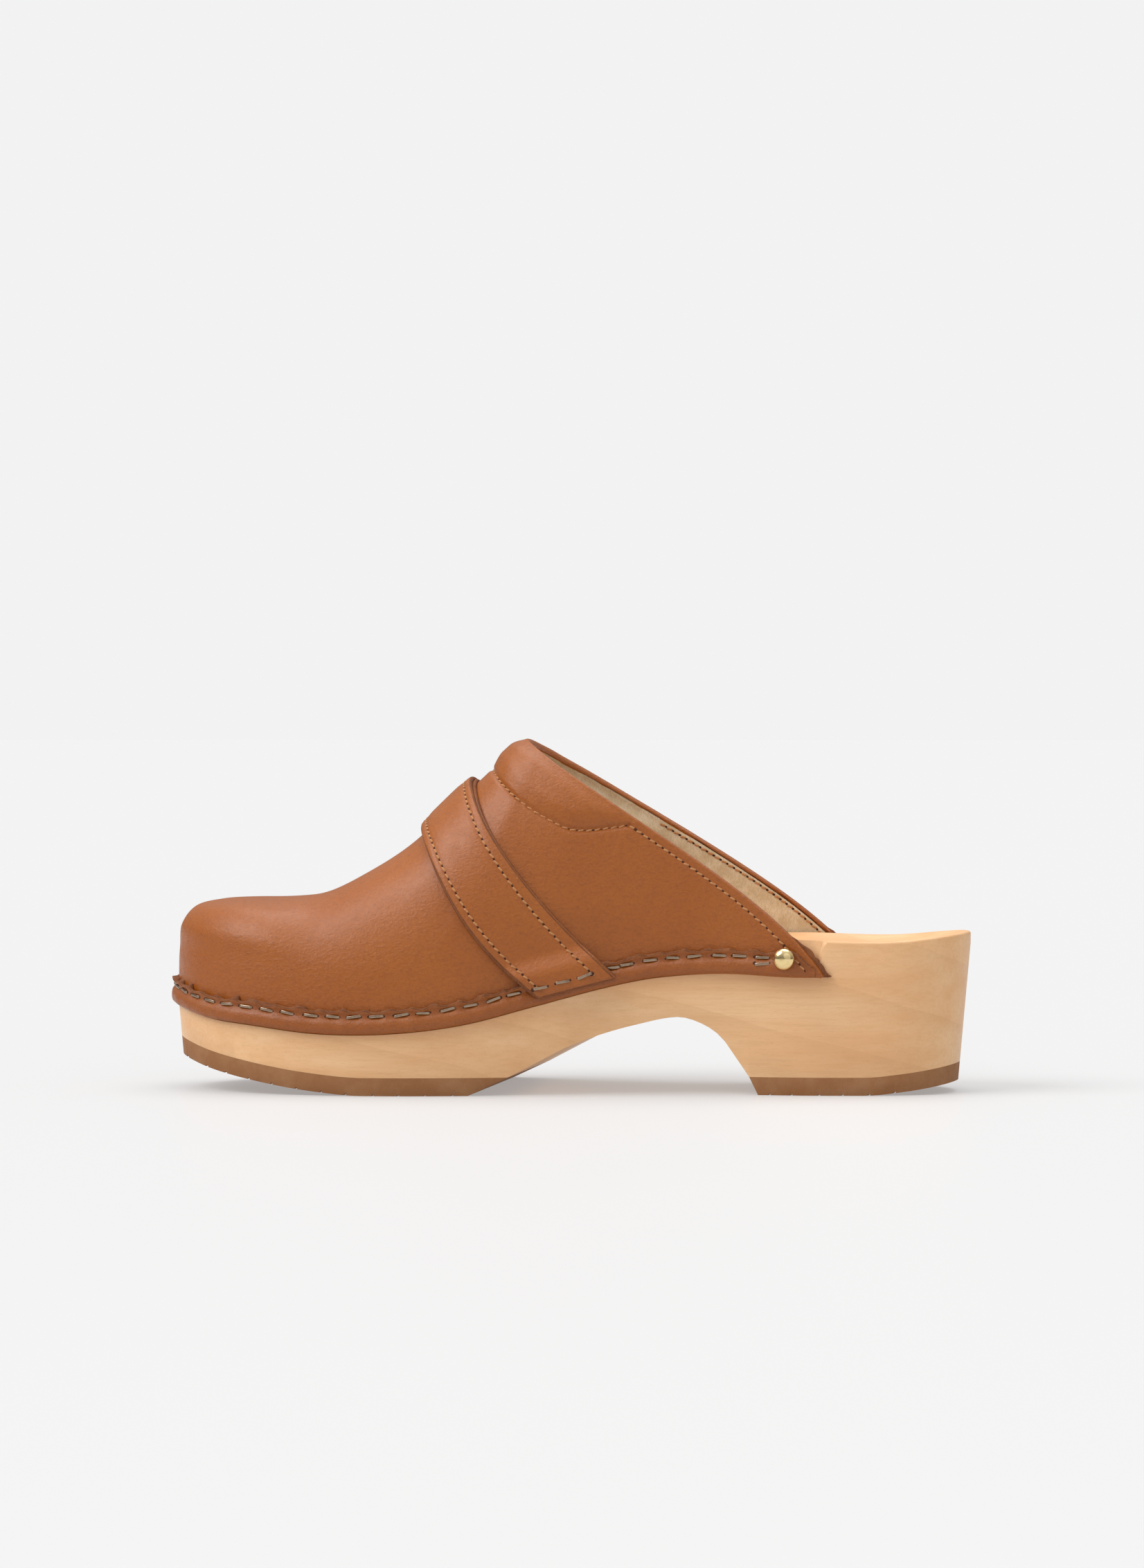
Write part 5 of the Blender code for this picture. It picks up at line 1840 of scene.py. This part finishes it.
@dataclass
class Fasteners:
    """Flat-wire staples all round the welt, a doubled one by each stud, and the two domed studs."""

    last: LastShape
    welt: Welt
    strap: Strap
    crown: float = 0.0048
    width: float = 0.00082
    thick: float = 0.00045
    leg: float = 0.0024
    stud_height: float = 0.0028
    seat: float = 0.00140
    strap_seat: float = 0.00035
    lower_seat: float = 0.00105
    double_drop: float = 0.0020
    stud_setback: float = 0.0120

    def staple(self) -> Piece:
        """One staple: a flat wire with rounded shoulders, its crown along X and its legs down -Z.

        Returns:
            The staple.
        """
        half, bend = self.crown / 2, 0.7 * MM
        path = [(-half, -self.leg), (-half, -bend)]
        path += [(-half + bend * (1 - math.cos(a)), -bend + bend * math.sin(a)) for a in (0.5, 1.05)]
        path += [(-half + bend, 0.0), (half - bend, 0.0)]
        path += [(half - bend * (1 - math.cos(a)), -bend + bend * math.sin(a)) for a in (1.05, 0.5)]
        path += [(half, -bend), (half, -self.leg)]
        line = np.array(path)
        tangent = np.gradient(line, axis=0)
        tangent /= np.linalg.norm(tangent, axis=1)[:, None]
        side = np.column_stack([-tangent[:, 1], tangent[:, 0]])
        ring = [(-0.5, -0.32), (-0.36, -0.5), (0.36, -0.5), (0.5, -0.32), (0.5, 0.32), (0.36, 0.5),
                (-0.36, 0.5), (-0.5, 0.32)]
        rows = np.array([[(*(p + s * b * self.thick), a * self.width) for a, b in ring]
                         for p, s in zip(line, side)])
        verts = rows[:, :, [0, 2, 1]].reshape(-1, 3)
        ids = np.arange(len(verts)).reshape(len(line), 8)
        faces = grid_faces(np.hstack([ids, ids[:, :1]])) + [tuple(ids[0][::-1]), tuple(ids[-1])]
        return mesh_object("staple", verts, faces, (WIRE,))

    def places(self) -> tuple[Array, Array, Array]:
        """Seats of all staples, their directions along the welt and outwards.

        Returns:
            Points, directions and unit vectors, one row for each staple.
        """
        distance = self.welt.staples()
        distance = np.concatenate([distance, distance[[0, -1]]])
        drop = np.where(np.arange(len(distance)) < len(distance) - 2, 0.0, self.double_drop)
        foot, out, side = self.welt.seat(distance)
        reach = np.full(len(distance), self.seat)
        for number, (place, one_side) in enumerate(zip(foot, side)):
            front, rear = (self.welt.strap_crossing(ridge, one_side)
                           for ridge in (self.last.strap_front, self.last.strap_rear))
            if front < place[0] < rear:
                reach[number] = (self.welt.bulge + 3 * self.last.clearance + self.strap.backing
                                 + self.strap.outer + self.strap_seat)
        reach[-2:] += self.lower_seat
        level = self.welt.staple_level * self.welt.height - drop
        seats = foot + out * reach[:, None] + level[:, None] * UP
        along = np.column_stack([-out[:, 1], out[:, 0], np.zeros(len(out))])
        slope = (self.last.ledge(foot[:, 0] + 0.002) - self.last.ledge(foot[:, 0] - 0.002)) / 0.004
        along[:, 2] = slope * along[:, 0]
        return seats, along, out

    def build_stud(self, side: float, name: str, node: str) -> None:
        """A domed brass head with a thin flange, turned on its shank.

        Args:
            side: -1 medial, 1 lateral.
            name: the piece's name.
            node: the CAD node that it stands for.
        """
        radius, height = self.welt.stud / 2, self.stud_height
        profile = [(0.0, height)]
        profile += [(radius * math.sin(a) ** 0.9, height * math.cos(a) ** 0.8)
                    for a in np.linspace(0.1, 1.5, 12)]
        profile += [(radius, 0.25 * MM), (radius * 0.99, 0.08 * MM), (radius * 0.93, -0.2 * MM),
                    (0.001, -0.2 * MM), (0.001, -0.009), (0.0, -0.0095)]
        turns = 48
        along = self.last.wing_tip(side) - self.stud_setback
        distance = np.atleast_1d(self.last.plan_distance(along, side))
        foot, out, _ = self.welt.seat(distance)
        centre = foot[0] + out[0] * (self.welt.bulge + self.last.clearance + 0.2 * MM)
        centre = centre + np.array((0.0, 0.0, self.welt.staple_level * self.welt.height))
        across = np.array((-out[0][1], out[0][0], 0.0))
        verts, ids = [], []
        for r, z in profile:
            if r == 0.0:
                ids.append([len(verts)] * turns)
                verts.append(centre + out[0] * z)
                continue
            ids.append(list(range(len(verts), len(verts) + turns)))
            verts += [centre + out[0] * z + (across * math.cos(a) + UP * math.sin(a)) * r
                      for a in np.arange(turns) * 2 * math.pi / turns]
        ring = np.array(ids)
        faces = grid_faces(np.hstack([ring, ring[:, :1]]))
        made = mesh_object(name, np.array(verts) + self.last.origin, faces, (BRASS,))
        settle(made, [node])

    def build(self) -> None:
        """Makes the staples, dark dimples of painted shadow where their legs go in, and the studs."""
        seats, along, out = self.places()
        staples = set_on_points("welt_staples", self.staple(), WIRE, seats + self.last.origin, along,
                                out, math.radians(9), 0.06, 6)
        settle(staples, [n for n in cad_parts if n.startswith("staple_")])
        reach = along / np.linalg.norm(along, axis=1)[:, None] * (0.5 * self.crown + 0.1 * MM)
        along, out = np.tile(along, (2, 1)), np.tile(out, (2, 1))
        # Dark dimples at both ends of each staple: painted shadow where each leg pierces the welt.
        pricks = np.concatenate([seats - reach, seats + reach]) - out * 0.45 * MM
        puncture_shadows = set_on_points("staple_punctures", capsule(1.5 * MM, 1.3 * MM, 0.6), NEEDLE_HOLE_SHADOW,
                                  pricks + self.last.origin, along, out, 0.5, 0.2, 7)
        settle(puncture_shadows)
        self.build_stud(-1.0, "brass_stud_medial", "stud_medial")
        self.build_stud(1.0, "brass_stud_lateral", "stud_lateral")


@dataclass
class WingTips:
    """Raw tips of the reinforcing leather that peep out behind the upper's two rear corners."""

    last: LastShape
    reach: float = 0.0021
    overlap: float = 0.004
    depth: float = 0.0010
    thick: float = 0.0012

    def build(self, side: float, name: str) -> None:
        """One tip: a strip along the topline's last 11 mm, its torn edge showing.

        Args:
            side: -1 medial, 1 lateral.
            name: the piece's name.
        """
        heights = np.linspace(0.0, 0.105, 26)
        edge = self.last.surface(np.full(26, side), heights)
        before = self.last.surface(np.full(26, side * 0.985), heights)
        rearward = edge - before
        rearward /= np.linalg.norm(rearward, axis=1)[:, None]
        normal = self.last.normals(np.full(26, side * 0.99), np.maximum(heights, 0.02))
        taper = 1 - ease(heights, 0.060, 0.105)
        torn = self.reach * taper * (1 + 0.25 * waver(heights, 71, 0.006)) + 0.1 * MM
        start = edge - rearward * self.overlap - normal * self.depth
        outer = np.array([start + rearward * (share * (self.overlap + torn))[:, None]
                          for share in np.linspace(0.0, 1.0, 8)])
        outer[:, :, 2] = np.maximum(outer[:, :, 2], self.last.ledge(outer[:, :, 0]) + 0.15 * MM)
        ids = np.arange(outer.shape[0] * outer.shape[1]).reshape(outer.shape[:2])
        inner = outer - normal[None] * self.thick
        faces = grid_faces(ids if side < 0 else ids[::-1])
        made = close_shell(name, outer.reshape(-1, 3) + self.last.origin,
                           inner.reshape(-1, 3) + self.last.origin, faces, grid_loop(ids),
                           (CUT_EDGE,) * 3, 0.4)
        settle(made)


# ---- studio -------------------------------------------------------------------------------
class View(Enum):
    """Where the camera can stand."""

    MEDIAL = 6.0


@dataclass
class Studio:
    """Pale seamless floor, soft light from above and the camera on the medial side."""

    tone: str = "#f2f2f2"
    distance: float = 1.6
    eye: float = 0.120
    aim: tuple[float, float, float] = (0.00078, 0.0, 0.0995)
    lens: float = 112.07
    glow: float = 0.313
    paper: float = 0.42
    floor_half: float = 30.0
    horizon: float = 0.16
    zenith: float = 0.80

    def build_camera(self, view: View) -> None:
        """Sets the camera.

        Args:
            view: where it stands.
        """
        turn = math.radians(view.value)
        camera = bpy.data.objects.new("camera", bpy.data.cameras.new("camera"))
        camera.data.lens = self.lens
        camera.data.sensor_width = 36.0
        camera.data.dof.use_dof = False
        camera.data.clip_start, camera.data.clip_end = 0.1, 60.0
        target = Vector(self.aim)
        camera.location = (target.x + self.distance * math.sin(turn), -self.distance * math.cos(turn),
                           self.eye)
        camera.rotation_euler = (target - camera.location).to_track_quat("-Z", "Y").to_euler()
        bpy.context.scene.collection.objects.link(camera)
        bpy.context.scene.camera = camera

    def sun(self, name: str, strength: float, degrees: float, towards: Sequence[float]) -> None:
        """One soft lamp, far away.

        Args:
            name: the lamp's name.
            strength: its strength.
            degrees: how wide its disc is.
            towards: which way it shines.
        """
        lamp = bpy.data.objects.new(name, bpy.data.lights.new(name, "SUN"))
        lamp.data.energy = strength
        lamp.data.angle = math.radians(degrees)
        lamp.rotation_euler = Vector(towards).to_track_quat("-Z", "Y").to_euler()
        bpy.context.scene.collection.objects.link(lamp)

    def build(self) -> None:
        """Floor, backdrop tone and lamps."""
        mesh = bpy.data.meshes.new("studio_floor")
        half = self.floor_half
        corners = [(-half, -half, 0), (half, -half, 0), (half, half, 0), (-half, half, 0)]
        mesh.from_pydata(corners, [], [(0, 1, 2, 3)])
        floor = bpy.data.objects.new("studio_floor", mesh)
        paper = bpy.data.materials.new("studio_paper")
        paper.use_nodes = True
        shader = paper.node_tree.nodes["Principled BSDF"]
        shader.inputs["Base Color"].default_value = (*[self.paper] * 3, 1.0)
        shader.inputs["Emission Color"].default_value = (1.0, 1.0, 1.0, 1.0)
        shader.inputs["Emission Strength"].default_value = self.glow
        shader.inputs["Roughness"].default_value = 0.45
        shader.inputs["Specular IOR Level"].default_value = 0.12
        mesh.materials.append(paper)
        bpy.context.scene.collection.objects.link(floor)
        world = bpy.data.worlds.new("studio_air")
        world.use_nodes = True
        tree = world.node_tree
        tree.nodes.clear()
        seen = add(tree, "ShaderNodeLightPath").outputs["Is Camera Ray"]
        way = add(tree, "ShaderNodeTexCoord").outputs["Generated"]
        height = add(tree, "ShaderNodeSeparateXYZ", {"Vector": way}).outputs["Z"]
        dim = add(tree, "ShaderNodeBackground", {
            "Color": (1.0, 1.0, 1.0, 1.0),
            "Strength": spread(tree, height, self.horizon, self.zenith, 0.05, 0.85)})
        pale = add(tree, "ShaderNodeBackground", {"Color": linear(self.tone), "Strength": 1.0})
        both = add(tree, "ShaderNodeMixShader", {0: seen, 1: dim.outputs[0], 2: pale.outputs[0]})
        add(tree, "ShaderNodeOutputWorld", {"Surface": both.outputs[0]})
        bpy.context.scene.world = world
        bpy.context.scene.view_settings.view_transform = "Standard"
        self.sun("key_softbox", 1.9, 40.0, (0.62, 0.36, -0.72))
        self.sun("top_softbox", 1.3, 50.0, (-0.05, -0.25, -1.0))
        self.sun("fill_softbox", 0.3, 60.0, (-0.5, 1.0, -0.4))


def main() -> None:
    """Builds the clog and its studio."""
    logging.basicConfig(level=logging.INFO, format="%(message)s")
    studio = Studio()
    studio.build_camera(View.MEDIAL)
    last = LastShape()
    SoleBlock(last).build()
    Upper(last).build()
    welt = Welt(last)
    welt.build()
    strap = Strap(last, welt)
    strap.build()
    Fasteners(last, welt, strap).build()
    tips = WingTips(last)
    tips.build(-1.0, "wing_tip_medial")
    tips.build(1.0, "wing_tip_lateral")
    studio.build()


if __name__ == "__main__":
    main()
